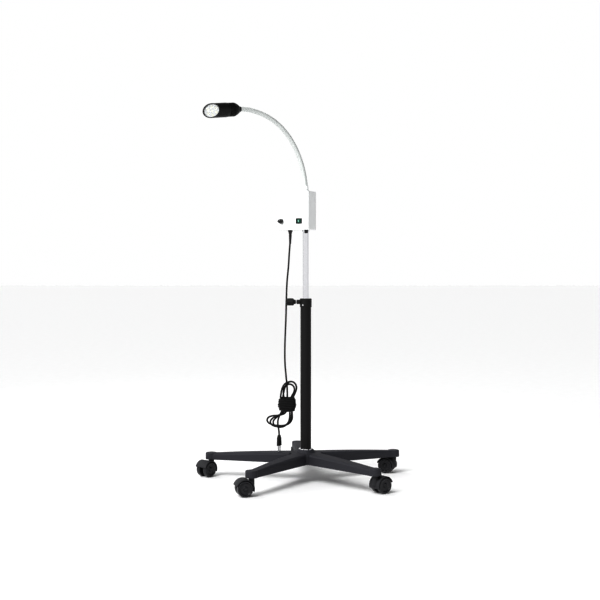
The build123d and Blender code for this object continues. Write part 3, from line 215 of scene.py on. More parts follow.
def ring_frame(axis: Array) -> tuple[Array, Array]:
    """Two directions square to an axis and to each other.

    Args:
        axis: A unit vector.

    Returns:
        The pair; turned from the first to the second, the right hand's thumb is along the axis.
    """
    helper = np.array([0.0, 0.0, 1.0]) if abs(axis[2]) < 0.9 else np.array([1.0, 0.0, 0.0])
    first = unit(np.cross(helper, axis))
    return first, np.cross(axis, first)


def strip_quads(rows: int, columns: int, closed_rows: bool) -> Array:
    """Four-cornered faces of a grid whose columns close round.

    Args:
        rows: Rings in the grid.
        columns: Points in each ring.
        closed_rows: True when the last ring meets the first.

    Returns:
        An array of four vertex numbers for each face.
    """
    last = rows if closed_rows else rows - 1
    i, j = np.meshgrid(np.arange(last), np.arange(columns), indexing="ij")
    below, beside = (i + 1) % rows, (j + 1) % columns
    corners = (i * columns + j, i * columns + beside, below * columns + beside, below * columns + j)
    return np.stack([c.ravel() for c in corners], axis=1)


def place_mesh(name: str, points: Array, faces: list[Array], finish: Finish, sharp: float = 0.7) -> bpy.types.Object:
    """Puts points and faces into a new mesh object at the origin.

    Args:
        name: The piece's name.
        points: Its vertices, one row each.
        faces: Arrays of faces, each with one count of corners.
        finish: The finish it gets.
        sharp: Angle, in radians, past which an edge is drawn sharp.

    Returns:
        The new object.
    """
    mesh = bpy.data.meshes.new(name)
    mesh.from_pydata(points.tolist(), [], [face for group in faces for face in group.tolist()])
    mesh.validate()
    piece = bpy.data.objects.new(name, mesh)
    bpy.context.scene.collection.objects.link(piece)
    edit = bmesh.new()
    edit.from_mesh(mesh)
    bmesh.ops.recalc_face_normals(edit, faces=edit.faces)
    edit.to_mesh(mesh)
    edit.free()
    mesh.shade_smooth()
    mesh.set_sharp_from_angle(angle=sharp)
    mesh.materials.append(finish.material())
    return piece


def capped_rings(rings: Array) -> tuple[Array, list[Array]]:
    """Closes a stack of rings with a fan at each end.

    The surface is the grid of rings, and each fan joins its end ring to that ring's middle.

    Args:
        rings: Points by ring, by place round it, by coordinate.

    Returns:
        The vertices and the face arrays.
    """
    rows, columns = rings.shape[:2]
    points = np.concatenate([rings.reshape(-1, 3), rings[[0, -1]].mean(axis=1)])
    first, second = rows * columns, rows * columns + 1
    j = np.arange(columns)
    beside = (j + 1) % columns
    low = np.stack([np.full(columns, first), beside, j], axis=1)
    high = np.stack([np.full(columns, second), j + first - columns, beside + first - columns], axis=1)
    return points, [strip_quads(rows, columns, False), low, high]


def turned(
    name: str,
    profile: Array,
    origin: Array,
    axis: Array,
    finish: Finish,
    columns: int = 64,
    closed: bool = False,
    lobes: tuple[int, float] = (0, 0.0),
    lobed: slice = slice(0, 0),
) -> bpy.types.Object:
    """A turned piece: a profile of radius and height, carried round an axis.

    A point is origin + height * axis + radius * (cos a * first + sin a * second), for each turn a.
    Where the piece has lobes, the radius is also multiplied by 1 + depth * cos(count * a).

    Args:
        name: The piece's name.
        profile: Rows of radius and height.
        origin: Where height is nought.
        axis: The unit direction of height.
        finish: The finish it gets.
        columns: Points round the axis.
        closed: True when the profile is a loop clear of the axis.
        lobes: The count of lobes and their depth as a share of the radius.
        lobed: The profile's rows that have lobes.

    Returns:
        The new object.
    """
    angle = np.linspace(0.0, 2.0 * np.pi, columns, endpoint=False)
    first, second = ring_frame(axis)
    spokes = np.cos(angle)[:, None] * first + np.sin(angle)[:, None] * second
    wave = np.ones((len(profile), columns))
    wave[lobed] += lobes[1] * np.cos(lobes[0] * angle)
    reach = profile[:, 0, None] * wave
    rings = origin + profile[:, 1, None, None] * axis + reach[:, :, None] * spokes
    if closed:
        return place_mesh(name, rings.reshape(-1, 3), [strip_quads(len(profile), columns, True)], finish)
    points, faces = capped_rings(rings)
    return place_mesh(name, points, faces, finish)


def rounded(profile: list[tuple[float, float]], radius: float, steps: int = 4) -> Array:
    """Rounds the inner corners of a profile with quadratic bends.

    Each corner c between neighbours p and n becomes the curve (1-t)^2 a + 2t(1-t) c + t^2 b, where a
    and b stand a radius away from c towards p and n, or halfway if that is nearer.

    Args:
        profile: Corners, in millimetres.
        radius: Reach of each bend, in millimetres.
        steps: Points on each bend.

    Returns:
        The rounded profile in metres.
    """
    corners = np.array(profile, float)
    before, at, after = corners[:-2], corners[1:-1], corners[2:]
    back, on = before - at, after - at
    back_long = np.linalg.norm(back, axis=1, keepdims=True)
    on_long = np.linalg.norm(on, axis=1, keepdims=True)
    a = at + back / back_long * np.minimum(radius, back_long * 0.49)
    b = at + on / on_long * np.minimum(radius, on_long * 0.49)
    t = np.linspace(0.0, 1.0, steps)[None, :, None]
    bends = (1 - t) ** 2 * a[:, None] + 2 * t * (1 - t) * at[:, None] + t**2 * b[:, None]
    return np.concatenate([corners[:1], bends.reshape(-1, 2), corners[-1:]]) * 0.001


def softened(frame: dict[str, Any], node: str, body: str, finish: Finish, width: float) -> bpy.types.Object:
    """A copy of a frame piece with its sharp edges broken by a small bevel.

    Args:
        frame: The loaded frame.
        node: The frame node it stands for.
        body: The body it rides on.
        finish: The finish it gets.
        width: The bevel's width in metres.

    Returns:
        The new object.
    """
    mesh = frame["nodes"][node].data.copy()
    edit = bmesh.new()
    edit.from_mesh(mesh)
    bmesh.ops.remove_doubles(edit, verts=edit.verts, dist=1e-6)
    bmesh.ops.dissolve_limit(edit, angle_limit=0.02, verts=edit.verts, edges=edit.edges)
    edit.to_mesh(mesh)
    edit.free()
    mesh.materials.clear()
    mesh.materials.append(finish.material())
    piece = bpy.data.objects.new(f"{node}_shell", mesh)
    bpy.context.scene.collection.objects.link(piece)
    mesh.shade_smooth()
    bevel = piece.modifiers.new("broken edges", "BEVEL")
    bevel.width = width
    bevel.segments = 2
    bevel.limit_method = "ANGLE"
    bevel.angle_limit = 0.6
    bevel.use_clamp_overlap = True
    bevel.harden_normals = True
    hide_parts(node)
    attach(piece, body)
    return piece


# ---------------------------------------------------------------- the lamp's sub-assemblies


@dataclass
class MainsCord:
    """The mains cord: its drop from the box, the tied hank, the tail down to the plug and the strain relief."""

    diameter: float = 0.0056
    length: float = 2.84
    middle_depth: float = 0.0272
    drop: tuple[tuple[float, float, float], ...] = (
        (-0.0512, 0.0272, 0.806),
        (-0.0516, 0.0273, 0.785),
        (-0.0546, 0.0270, 0.748),
        (-0.0572, 0.0264, 0.700),
        (-0.0626, 0.0269, 0.650),
        (-0.0644, 0.0276, 0.590),
        (-0.0660, 0.0272, 0.520),
        (-0.0694, 0.0269, 0.445),
        (-0.0696, 0.0274, 0.385),
        (-0.0662, 0.0273, 0.348),
    )
    entry: tuple[tuple[float, float, float], ...] = (
        (-0.0642, 0.0300, 0.326),
        (-0.0620, 0.0360, 0.303),
        (-0.0612, 0.0372, 0.284),
        (-0.0614, 0.0330, 0.262),
        (-0.0615, 0.0318, 0.242),
        (-0.0622, 0.0320, 0.224),
    )
    turns: tuple[tuple[tuple[float, float, float], ...], ...] = (
        (
            (-0.070, 0.0325, 0.212), (-0.090, 0.0330, 0.2065), (-0.112, 0.0330, 0.2060), (-0.1275, 0.0328, 0.199),
            (-0.1290, 0.0325, 0.186), (-0.1150, 0.0325, 0.1765), (-0.0930, 0.0325, 0.1725), (-0.0700, 0.0325, 0.1730),
            (-0.0530, 0.0325, 0.1800), (-0.0445, 0.0325, 0.1945), (-0.0450, 0.0322, 0.2120), (-0.0460, 0.0318, 0.230),
            (-0.0460, 0.0318, 0.252), (-0.0415, 0.0322, 0.268), (-0.0345, 0.0326, 0.282), (-0.0300, 0.0328, 0.298),
            (-0.0340, 0.0328, 0.313), (-0.0470, 0.0328, 0.3205), (-0.0610, 0.0326, 0.3150), (-0.0690, 0.0322, 0.301),
            (-0.0730, 0.0320, 0.285), (-0.0760, 0.0318, 0.267), (-0.0770, 0.0318, 0.245), (-0.0780, 0.0315, 0.225),
        ),
        (
            (-0.0840, 0.0290, 0.211), (-0.0970, 0.0272, 0.2010), (-0.1085, 0.0268, 0.190), (-0.1075, 0.0268, 0.1770),
            (-0.0950, 0.0268, 0.1690), (-0.0790, 0.0268, 0.1680), (-0.0650, 0.0268, 0.1745), (-0.0560, 0.0268, 0.187),
            (-0.0530, 0.0270, 0.2020), (-0.0525, 0.0271, 0.2180), (-0.0525, 0.0270, 0.2380), (-0.0520, 0.0270, 0.256),
            (-0.0470, 0.0270, 0.271), (-0.0395, 0.0268, 0.2830), (-0.0365, 0.0266, 0.2955), (-0.0420, 0.0266, 0.3075),
            (-0.0540, 0.0266, 0.3125), (-0.0670, 0.0266, 0.3070), (-0.0745, 0.0268, 0.294), (-0.0745, 0.0270, 0.278),
            (-0.0710, 0.0270, 0.263), (-0.0690, 0.0270, 0.245), (-0.0700, 0.0268, 0.225),
        ),
        (
            (-0.0770, 0.0240, 0.213), (-0.0930, 0.0214, 0.2080), (-0.1100, 0.0208, 0.200), (-0.1195, 0.0206, 0.187),
            (-0.1120, 0.0206, 0.1755), (-0.0960, 0.0206, 0.1705), (-0.0780, 0.0206, 0.1720), (-0.0610, 0.0208, 0.1790),
            (-0.0500, 0.0212, 0.192), (-0.0465, 0.0220, 0.2090), (-0.0462, 0.0224, 0.2270), (-0.0460, 0.0224, 0.250),
            (-0.0430, 0.0220, 0.268), (-0.0355, 0.0212, 0.2820), (-0.0300, 0.0208, 0.2960), (-0.0320, 0.0207, 0.311),
            (-0.0430, 0.0207, 0.3205), (-0.0580, 0.0208, 0.3200), (-0.0720, 0.0210, 0.3110), (-0.0790, 0.0214, 0.296),
            (-0.0820, 0.0222, 0.282),
        ),
    )
    tail: tuple[tuple[float, float, float], ...] = (
        (-0.0780, 0.0166, 0.220),
        (-0.0885, 0.0160, 0.206),
        (-0.0936, 0.0158, 0.187),
        (-0.0904, 0.0161, 0.168),
        (-0.0882, 0.0162, 0.154),
        (-0.0880, 0.0162, 0.144),
    )
    wrap_middle: float = -0.062
    wrap_half_width: float = 0.0280
    wrap_half_depth: float = 0.0105
    wrap_top: float = 0.2662
    wrap_foot: float = 0.2225
    wrap_turns: int = 8
    relief_length: float = 0.030

    def wraps(self) -> Array:
        """Control points of the wraps round the bundle.

        Turning by a from pi downwards, x follows the cosine and depth the sine of a, each raised to a power
        under one that fills out the corners, while the height falls evenly. The width bulges at mid-height
        by a square law and wanders a little from turn to turn.

        Returns:
            The points, fourteen to a turn.
        """
        turn = np.linspace(np.pi, np.pi - 2.0 * np.pi * (self.wrap_turns - 0.12), self.wrap_turns * 14)
        c, s = np.cos(turn), np.sin(turn)
        fall = np.linspace(-1.0, 1.0, len(turn))
        bulge = 1.0 - 0.2 * fall**2 + 0.035 * np.sin(1.7 * turn)
        x = self.wrap_middle + self.wrap_half_width * bulge * np.sign(c) * np.abs(c) ** 0.65
        y = self.middle_depth + self.wrap_half_depth * np.sign(s) * np.abs(s) ** 0.65
        height = (self.wrap_top + self.wrap_foot) / 2 + (self.wrap_foot - self.wrap_top) / 2 * fall + 0.0008 * c
        return np.stack([x, y, height], axis=1)

    def route(self) -> Array:
        """All control points from the gland to the plug."""
        loops = [np.array(turn) for turn in self.turns]
        return np.concatenate([np.array(self.drop), np.array(self.entry), *loops, self.wraps(), np.array(self.tail)])

    def mesh(self) -> tuple[bpy.types.Object, Array]:
        """Builds the cord's tube along its smooth line.

        Returns:
            The tube and the points of its middle line.
        """
        points = self.route()
        curve = bpy.data.curves.new("cord_line", "CURVE")
        curve.dimensions = "3D"
        curve.resolution_u = 6
        spline = curve.splines.new("NURBS")
        spline.points.add(len(points) - 1)
        spline.points.foreach_set("co", np.column_stack([points, np.ones(len(points))]).ravel())
        spline.order_u = 3
        spline.use_endpoint_u = True
        holder = bpy.data.objects.new("cord_line", curve)
        bpy.context.scene.collection.objects.link(holder)
        bpy.context.view_layer.update()
        bare = bpy.data.meshes.new_from_object(holder)
        line = np.zeros(len(bare.vertices) * 3)
        bare.vertices.foreach_get("co", line)
        curve.bevel_depth = self.diameter / 2
        curve.bevel_resolution = 4
        curve.use_fill_caps = True
        bpy.context.view_layer.update()
        tube = bpy.data.meshes.new_from_object(holder.evaluated_get(bpy.context.evaluated_depsgraph_get()))
        bpy.data.objects.remove(holder)
        edit = bmesh.new()
        edit.from_mesh(tube)
        bmesh.ops.remove_doubles(edit, verts=edit.verts, dist=1e-7)
        bmesh.ops.recalc_face_normals(edit, faces=edit.faces)
        edit.to_mesh(tube)
        edit.free()
        piece = bpy.data.objects.new("mains_cord", tube)
        bpy.context.scene.collection.objects.link(piece)
        tube.shade_smooth()
        tube.materials.clear()
        tube.materials.append(CORD_BLACK.material())
        return piece, line.reshape(-1, 3)

    def relief(self) -> bpy.types.Object:
        """The tapered, ringed strain relief below the gland, a loop profile turned about the cord's first run."""
        height = np.linspace(0.0, self.relief_length, 61)
        share = height / self.relief_length
        outer = 0.0050 - 0.0016 * share - 0.00035 * (np.cos(share * 7 * 2 * np.pi) < 0)
        outside = np.column_stack([outer, height])
        inside = np.array([[0.00285, self.relief_length], [0.00285, 0.0]])
        axis = unit(np.array(self.drop[1]) - np.array(self.drop[0]))
        start = np.array(self.drop[0]) + np.array([0.0, 0.0, 0.001])
        return turned("strain_relief", np.concatenate([outside, inside]), start, axis, CONTROL_BLACK, 40, True)

    def dress(self) -> None:
        """Builds the cord and its relief and ties the relief to the pole; the cord stays where it is built."""
        piece, line = self.mesh()
        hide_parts("cord_drop", "cord_hank", "cord_tail")
        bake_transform(piece)
        relief = self.relief()
        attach(relief, "pole")
        long = float(np.linalg.norm(np.diff(line, axis=0), axis=1).sum())
        LOG.info("cord line %.3f m", long)


@dataclass
class Gooseneck:
    """The wound hose, in one length for each joint."""

    pivots: Array
    up: Array
    head_axis: Array
    radius: float = 0.0074
    winding: float = 0.0030
    groove: float = 0.00045
    columns: int = 36

    def middles(self) -> Array:
        """The points where one length of hose hands over to the next."""
        between = (self.pivots[:-1] + self.pivots[1:]) / 2
        foot = self.pivots[0] - self.up * 0.010
        tip = self.pivots[-1] + self.head_axis * 0.0205
        return np.concatenate([foot[None], between, tip[None]])

    def length(self, number: int, start: Array, pivot: Array, end: Array, phase: float) -> tuple[bpy.types.Object, float]:
        """One length of hose.

        Its middle line is the curve (1-t)^2 start + 2t(1-t) pivot + t^2 end. Round it runs a winding: the
        radius falls by the groove where a sharpened cosine of distance over the winding's pitch dips.

        Args:
            number: The joint's number from the box.
            start: Where it begins.
            pivot: The joint.
            end: Where it ends.
            phase: Distance already wound below it.

        Returns:
            The object and its length.
        """
        rough = np.linspace(0.0, 1.0, 200)[:, None]
        line = (1 - rough) ** 2 * start + 2 * rough * (1 - rough) * pivot + rough**2 * end
        run = np.concatenate([[0.0], np.cumsum(np.linalg.norm(np.diff(line, axis=0), axis=1))])
        rows = int(run[-1] / self.winding * 8) + 1
        t = np.interp(np.linspace(0.0, run[-1], rows), run, rough[:, 0])[:, None]
        line = (1 - t) ** 2 * start + 2 * t * (1 - t) * pivot + t**2 * end
        along = unit(2 * (1 - t) * (pivot - start) + 2 * t * (end - pivot))
        side = unit(np.cross(self.up, self.head_axis))
        out = np.cross(along, side)
        distance = np.linspace(0.0, run[-1], rows) + phase
        angle = np.linspace(0.0, 2 * np.pi, self.columns, endpoint=False)
        wave = 0.5 + 0.5 * np.cos(2 * np.pi * distance[:, None] / self.winding - angle[None, :])
        reach = self.radius - self.groove * (1.0 - wave**0.5)
        rings = line[:, None] + reach[:, :, None] * (np.cos(angle)[:, None] * side + np.sin(angle)[None, :, None] * out[:, None])
        points, faces = capped_rings(rings)
        return place_mesh(f"hose_length_{number}", points, faces, HOSE_SILVER, 1.2), run[-1]

    def dress(self) -> None:
        """Builds the nine lengths and hides the frame's first eight links."""
        middles, phase = self.middles(), 0.0
        for number, pivot in enumerate(self.pivots, start=1):
            piece, long = self.length(number, middles[number - 1], pivot, middles[number], phase)
            phase += long
            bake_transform(piece)
            if number < 9:
                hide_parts(f"gooseneck_link_{number}")


@dataclass
class LampHead:
    """The head's cap and bezel, turned and swept as rounded forms; the barrel, fins, lens and cups keep their frame shapes."""

    pivot: Array
    axis: Array
    face_out: Array
    face_at: float = 0.121
    radius: float = 0.023
    ring_across: float = 0.0165
    ring_up: float = 0.0134
    rim_radius: float = 0.0058
    rim_half: float = 0.00045
    rim_depth: float = 0.0036

    def cap(self) -> bpy.types.Object:
        """The conical cap with its collar nut, a rounded profile turned about the head's axis."""
        profile = rounded(
            [
                (0, 17.5), (8.4, 17.5), (8.4, 21.5), (9.6, 22.2), (12.6, 25.4),
                (16.2, 30), (19, 35), (20.8, 38.6), (21.5, 41), (0, 41),
            ],
            0.9,
        )
        return turned("head_cap_cover", profile, self.pivot, self.axis, HEAD_BLACK, 72)

    def bezel(self) -> bpy.types.Object:
        """The rim round the light's face.

        A rounded section, a superellipse of power four, is carried round the ellipse where the round
        barrel meets the slanting face.

        Returns:
            The new object.
        """
        cosine = float(self.face_out @ self.axis)
        across = unit(self.axis - self.face_out * cosine)
        over = np.cross(self.face_out, across)
        middle = self.pivot + self.axis * self.face_at
        turn = np.linspace(0, 2 * np.pi, 120, endpoint=False)
        section = np.linspace(0, 2 * np.pi, 20, endpoint=False)
        width, height = 0.0014, 0.0010
        flat = width * np.sign(np.cos(section)) * np.abs(np.cos(section)) ** 0.5
        rise = height * np.sign(np.sin(section)) * np.abs(np.sin(section)) ** 0.5
        reach = self.radius - 0.0013 + flat
        rings = (
            middle
            + self.face_out * (0.0006 + rise)[None, :, None]
            + reach[None, :, None] * (np.cos(turn)[:, None, None] / cosine * across + np.sin(turn)[:, None, None] * over)
        )
        return place_mesh("face_bezel", rings.reshape(-1, 3), [strip_quads(120, 20, True)], HEAD_BLACK)

    def cup_rims(self) -> bpy.types.Object:
        """The seven dark lens holders, each a rounded ring round a cup's mouth, in one mesh.

        A ring's point is the cup's middle plus a reach from the ring's own axis: the mouth's radius with a
        small circle of half the rim's width about it.

        Returns:
            The new object.
        """
        cosine = float(self.face_out @ self.axis)
        across = unit(self.axis - self.face_out * cosine)
        over = np.cross(self.face_out, across)
        places = np.radians(60.0 * (np.arange(6) + 0.5))
        ring = np.column_stack([self.ring_across * np.cos(places), self.ring_up * np.sin(places)])
        spots = np.concatenate([np.zeros((1, 2)), ring])
        middle = self.pivot + self.axis * self.face_at - self.face_out * self.rim_depth
        turn = np.linspace(0, 2 * np.pi, 36, endpoint=False)
        bead = np.linspace(0, 2 * np.pi, 10, endpoint=False)
        reach = self.rim_radius + self.rim_half * np.cos(bead)
        around = np.cos(turn)[:, None, None] * across + np.sin(turn)[:, None, None] * over
        rim = reach[None, :, None] * around + (self.rim_half * np.sin(bead))[None, :, None] * self.face_out
        points = middle + spots[:, 0, None, None, None] * across + spots[:, 1, None, None, None] * over + rim[None]
        quads = strip_quads(36, 10, True)
        faces = (quads[None] + (np.arange(7) * 360)[:, None, None]).reshape(-1, 4)
        return place_mesh("lens_holders", points.reshape(-1, 3), [faces], CONTROL_BLACK)

    def dress(self) -> None:
        """Builds the pieces and ties them to the head."""
        cap, bezel, rims = self.cap(), self.bezel(), self.cup_rims()
        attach(rims, "head")
        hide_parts("head_cap")
        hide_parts("head_bezel")
        for piece in (cap, bezel):
            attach(piece, "head")


@dataclass
class StarKnob:
    """The clamp's six-lobed knob."""

    height: float
    lobes: int = 6
    lobe_depth: float = 0.11

    def dress(self) -> None:
        """Turns the knob's rounded, lobed profile about the screw's axis."""
        profile = rounded(
            [(0, 33), (7, 33), (7, 38), (9.2, 39.5), (11.6, 41), (11.8, 52), (11.4, 61.5), (9, 64), (0, 64)], 1.6, 5
        )
        gripped = slice(14, len(profile) - 6)
        middle, outwards = np.array([0.0, 0.0, self.height]), np.array([-1.0, 0.0, 0.0])
        lobes = (self.lobes, self.lobe_depth)
        piece = turned("star_knob", profile, middle, outwards, KNOB_BLACK, 96, False, lobes, gripped)
        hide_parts("clamp_knob")
        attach(piece, "clamp_knob")


@dataclass
class ControlBox:
    """The control box's knob, switch mark and printed marks."""

    turn: float = -28.0
    bottom: float = 0.822
    front: float = -0.029
    control_rise: float = 0.029
    dimmer_left: float = 0.076
    switch_left: float = 0.010
    flutes: tuple[int, float] = (18, 0.035)

    def point(self, across: float, inward: float, height: float) -> Array:
        """A point of the box: across to its right, inward from the pole, and its height, in metres."""
        a = np.radians(self.turn)
        return np.array([np.cos(a) * across - np.sin(a) * inward, np.sin(a) * across + np.cos(a) * inward, height])

    def out(self) -> Array:
        """The direction out of the box's front."""
        return self.point(0.0, -1.0, 0.0)

    def knob(self) -> bpy.types.Object:
        """The fluted dimmer knob with a rounded crown."""
        profile = rounded([(0, 0.8), (8.0, 0.8), (8.0, 2.4), (7.6, 3.4), (7.2, 10.6), (6.2, 12.6), (0, 12.8)], 0.8, 4)
        origin = self.point(-self.dimmer_left, self.front, self.bottom + self.control_rise)
        fluted = slice(9, len(profile) - 5)
        return turned("dimmer_cap", profile, origin, self.out(), CONTROL_BLACK, 96, False, self.flutes, fluted)

    def mark(
        self, name: str, across: float, rise: float, radius: tuple[float, float], lift: float, finish: Finish
    ) -> bpy.types.Object:
        """A small domed mark on the front, a disc whose height falls off with the square of its radius.

        Args:
            name: The mark's name.
            across: How far left of the pole it stands, in metres.
            rise: Its height above the box's bottom.
            radius: Half its width and half its height.
            lift: How far it stands off the front.
            finish: Its finish.

        Returns:
            The new object.
        """
        turn = np.linspace(0, 2 * np.pi, 32, endpoint=False)
        share = np.array([1.0, 1.0, 0.9, 0.6, 0.2])[:, None]
        tall = np.array([-0.0004, 0.0, 0.0002, 0.0003, 0.00034])[:, None]
        middle = self.point(-across, self.front - lift, self.bottom + rise)
        right, up = self.point(1.0, 0.0, 0.0), np.array([0.0, 0.0, 1.0])
        rings = (
            middle
            + (tall * np.ones(32))[:, :, None] * self.out()
            + (share * radius[0] * np.cos(turn))[:, :, None] * right
            + (share * radius[1] * np.sin(turn))[:, :, None] * up
        )
        points, faces = capped_rings(rings)
        return place_mesh(name, points, faces, finish)

    def dress(self) -> None:
        """Builds the knob and the marks and ties them to their bodies."""
        knob = self.knob()
        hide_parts("dimmer_knob")
        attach(knob, "dimmer_knob")
        line = self.mark("dimmer_line", self.dimmer_left, self.control_rise + 0.0042, (0.0006, 0.0022), 0.0127, POWDER_WHITE)
        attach(line, "dimmer_knob")
        small = self.mark("dimmer_low_mark", self.dimmer_left + 0.0135, self.control_rise, (0.0016, 0.0016), 0.0, PRINT_GREY)
        large = self.mark("dimmer_high_mark", self.dimmer_left - 0.0135, self.control_rise, (0.0024, 0.0024), 0.0, ACETAL)
        for piece in (small, large):
            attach(piece, "pole")
        sign = self.mark("rocker_mark", self.switch_left, self.control_rise, (0.0011, 0.0042), 0.0049, MARK_GREEN)
        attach(sign, "rocker")


@dataclass
class Caster:
    """One twin-wheel caster: rounded wheels on the axle line and a hood with broken edges."""

    number: int
    axle: Array
    across: Array

    def wheel(self, side: float) -> Array:
        """A wheel's profile in metres, with a crowned tread and a dished face, on one side of the middle."""
        shape = [
            (3.2, 7.2), (20, 7.2), (23.6, 7.5), (24.8, 8.8), (25, 12), (25, 17), (24.6, 20.4), (23.2, 22.7), (20.6, 23),
            (18.9, 22.4), (17.2, 19.9), (12, 19.3), (7.6, 19.6), (6.6, 22.6), (3.2, 23),
        ]
        made = rounded([(3.2, 12), *shape, (3.2, 13)], 0.7, 4)
        made[:, 1] *= side
        return made

    def dress(self, frame: dict[str, Any]) -> None:
        """Builds the wheels and the hood and ties them to their bodies.

        Args:
            frame: The loaded frame.
        """
        for side, word in ((1.0, "left"), (-1.0, "right")):
            piece = turned(f"wheel_{self.number}_{word}", self.wheel(side), self.axle, self.across, WHEEL_TREAD, 72, True)
            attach(piece, f"wheels_{self.number}")
            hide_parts(f"caster_wheels_{self.number}")
            crown = rounded([(0, 18), (3.3, 18), (3.3, 22.4), (2.6, 23), (0, 23)], 0.5, 4) * np.array([1.0, side])
            button = turned(f"wheel_cap_{self.number}_{word}", crown, self.axle, self.across, CASTER_NYLON, 32)
            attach(button, f"wheels_{self.number}")
        softened(frame, f"caster_hood_{self.number}", f"caster_{self.number}", CASTER_NYLON, 0.0011)


@dataclass
class Studio:
    """The pale floor, the soft lights and the camera."""

    eye: tuple[float, float, float] = (-0.019, -3.868, 0.700)
    lens: float = 70.4
    lift: float = -0.055
    contrast: float = 0.66
    ambient: float = 1.0
    shade_side: tuple[float, float, float] = (0.60, 0.0, 0.80)
    shade_from: float = 0.55
    shade_to: float = 0.85
    shade_level: float = 0.05
    sun_power: float = 1.6
    sun_angle: float = 0.5
    sun_turn: tuple[float, float, float] = (0.62, 0.0, -0.62)
    lights: tuple[tuple[str, tuple[float, float, float], tuple[float, float, float], float, float], ...] = field(
        default_factory=lambda: (
            ("key", (-1.9, -2.2, 2.3), (1.05, 0.0, -0.71), 1.0, 40.0),
            ("rim", (-2.2, 1.2, 1.6), (1.30, 0.0, -2.07), 0.8, 12.0),
        )
    )

    def dress(self) -> None:
        """Builds the floor, world, lights and camera."""
        reach = np.array([-40.0, 40.0])
        x, y = np.meshgrid(reach, reach, indexing="ij")
        points = np.column_stack([x.ravel(), y.ravel(), np.full(4, -0.0004)])
        mesh = bpy.data.meshes.new("studio_floor")
        mesh.from_pydata(points.tolist(), [], [(0, 2, 3, 1)])
        mesh.materials.append(FLOOR_PALE.material())
        floor = bpy.data.objects.new("studio_floor", mesh)
        bpy.context.scene.collection.objects.link(floor)
        world = bpy.data.worlds.new("studio")
        world.use_nodes = True
        nodes, links = world.node_tree.nodes, world.node_tree.links
        nodes["Background"].inputs["Color"].default_value = (1.0, 1.0, 1.0, 1.0)
        place = nodes.new("ShaderNodeTexCoord")
        lean = nodes.new("ShaderNodeVectorMath")
        lean.operation = "DOT_PRODUCT"
        lean.inputs[1].default_value = self.shade_side
        level = nodes.new("ShaderNodeMapRange")
        level.inputs["From Min"].default_value = self.shade_from
        level.inputs["From Max"].default_value = self.shade_to
        level.inputs["To Min"].default_value = self.ambient
        level.inputs["To Max"].default_value = self.shade_level
        links.new(place.outputs["Generated"], lean.inputs[0])
        links.new(lean.outputs["Value"], level.inputs["Value"])
        links.new(level.outputs["Result"], nodes["Background"].inputs["Strength"])
        bpy.context.scene.world = world
        bpy.context.scene.view_settings.view_transform = "Standard"
        bpy.context.scene.view_settings.gamma = self.contrast
        sun = bpy.data.lights.new("sun", "SUN")
        sun.energy = self.sun_power
        sun.angle = self.sun_angle
        beam = bpy.data.objects.new("sun", sun)
        beam.rotation_euler = self.sun_turn
        bpy.context.scene.collection.objects.link(beam)
        for name, place, turn, size, power in self.lights:
            lamp = bpy.data.lights.new(name, "AREA")
            lamp.size = size
            lamp.energy = power
            holder = bpy.data.objects.new(name, lamp)
            holder.location = place
            holder.rotation_euler = turn
            bpy.context.scene.collection.objects.link(holder)
        lens = bpy.data.cameras.new("camera")
        lens.lens = self.lens
        lens.sensor_width = 36.0
        lens.shift_y = self.lift
        eye = bpy.data.objects.new("camera", lens)
        eye.location = self.eye
        eye.rotation_euler = (np.pi / 2, 0.0, 0.0)
        bpy.context.scene.collection.objects.link(eye)
        bpy.context.scene.camera = eye


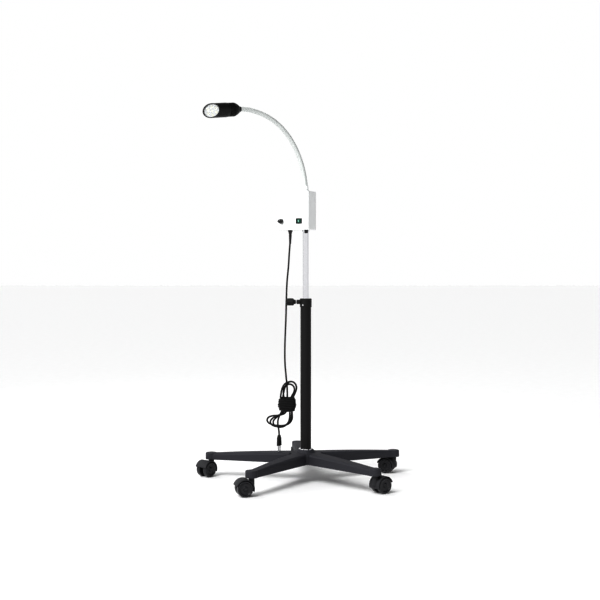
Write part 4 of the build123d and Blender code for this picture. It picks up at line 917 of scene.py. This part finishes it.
@dataclass
class FramePieces:
    """The frame's own nodes that keep their shape, with the finish that each one gets."""

    finishes: dict[Finish, tuple[str, ...]] = field(
        default_factory=lambda: {
            BASE_NYLON: ("base_star",),
            STEEL: (
                "caster_stems", "column_foot_plug", "column_foot_bolt", "collar_lock_screw", "clamp_screw",
                "box_screws", "plug_pins", *(f"caster_axle_{i}" for i in range(1, 6)),
            ),
            COLUMN_BLACK: ("column_tube", "column_collar"),
            CHROME: ("column_flange", "pole_tube", "pole_nut"),
            BRASS: ("clamp_pad",),
            ACETAL: ("guide_bush",),
            POWDER_WHITE: ("box_rear", "box_front", "arm_ferrule"),
            CONTROL_BLACK: ("rocker_housing", "dimmer_pot", "fuse_holder", "cord_gland"),
            SWITCH_GREEN: ("rocker",),
            BOARD_GREEN: ("driver_board",),
            CORD_BLACK: ("plug_body",),
            HEAD_BLACK: ("heat_sink", "head_barrel"),
            LENS_CLEAR: ("head_lens",),
            REFLECTOR: ("reflector",),
            LED_DOME: ("led_board",),
        }
    )

    def dress(self, frame: dict[str, Any]) -> None:
        """Gives each node its finish.

        Args:
            frame: The loaded frame.
        """
        for finish, names in self.finishes.items():
            for name in names:
                slots = frame["nodes"][name].data.materials
                slots.clear()
                slots.append(finish.material())


def main() -> None:
    """Builds the lamp's looks in order."""
    logging.basicConfig(level=logging.INFO)
    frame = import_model()
    joints = {j["name"]: j for j in frame["joints"]}
    Studio().dress()
    LOG.info("studio ready")
    MainsCord().dress()
    LOG.info("mains cord ready")
    bends = [f"arm_bend_{i}" for i in range(1, 9)] + ["head_bend"]
    pivots = np.array([joints[name]["pos_m"] for name in bends])
    heading, lean = np.radians(210.0), np.radians(96.4)
    head_axis = np.array([np.sin(lean) * np.cos(heading), np.sin(lean) * np.sin(heading), np.cos(lean)])
    Gooseneck(pivots, np.array([0.0, 0.0, 1.0]), head_axis).dress()
    LOG.info("gooseneck ready")
    turn, tip = np.radians(250.0), np.radians(92.3)
    face_out = np.array([np.sin(tip) * np.cos(turn), np.sin(tip) * np.sin(turn), np.cos(tip)])
    LampHead(pivots[-1], head_axis, face_out).dress()
    LOG.info("lamp head ready")
    StarKnob(joints["clamp_turn"]["pos_m"][2]).dress()
    ControlBox().dress()
    LOG.info("knobs ready")
    for number in range(1, 6):
        roll = joints[f"wheel_roll_{number}"]
        Caster(number, np.array(roll["pos_m"]), unit(np.array(roll["axis"], float))).dress(frame)
        LOG.info("caster %d ready", number)
    FramePieces().dress(frame)


if __name__ == "__main__":
    main()
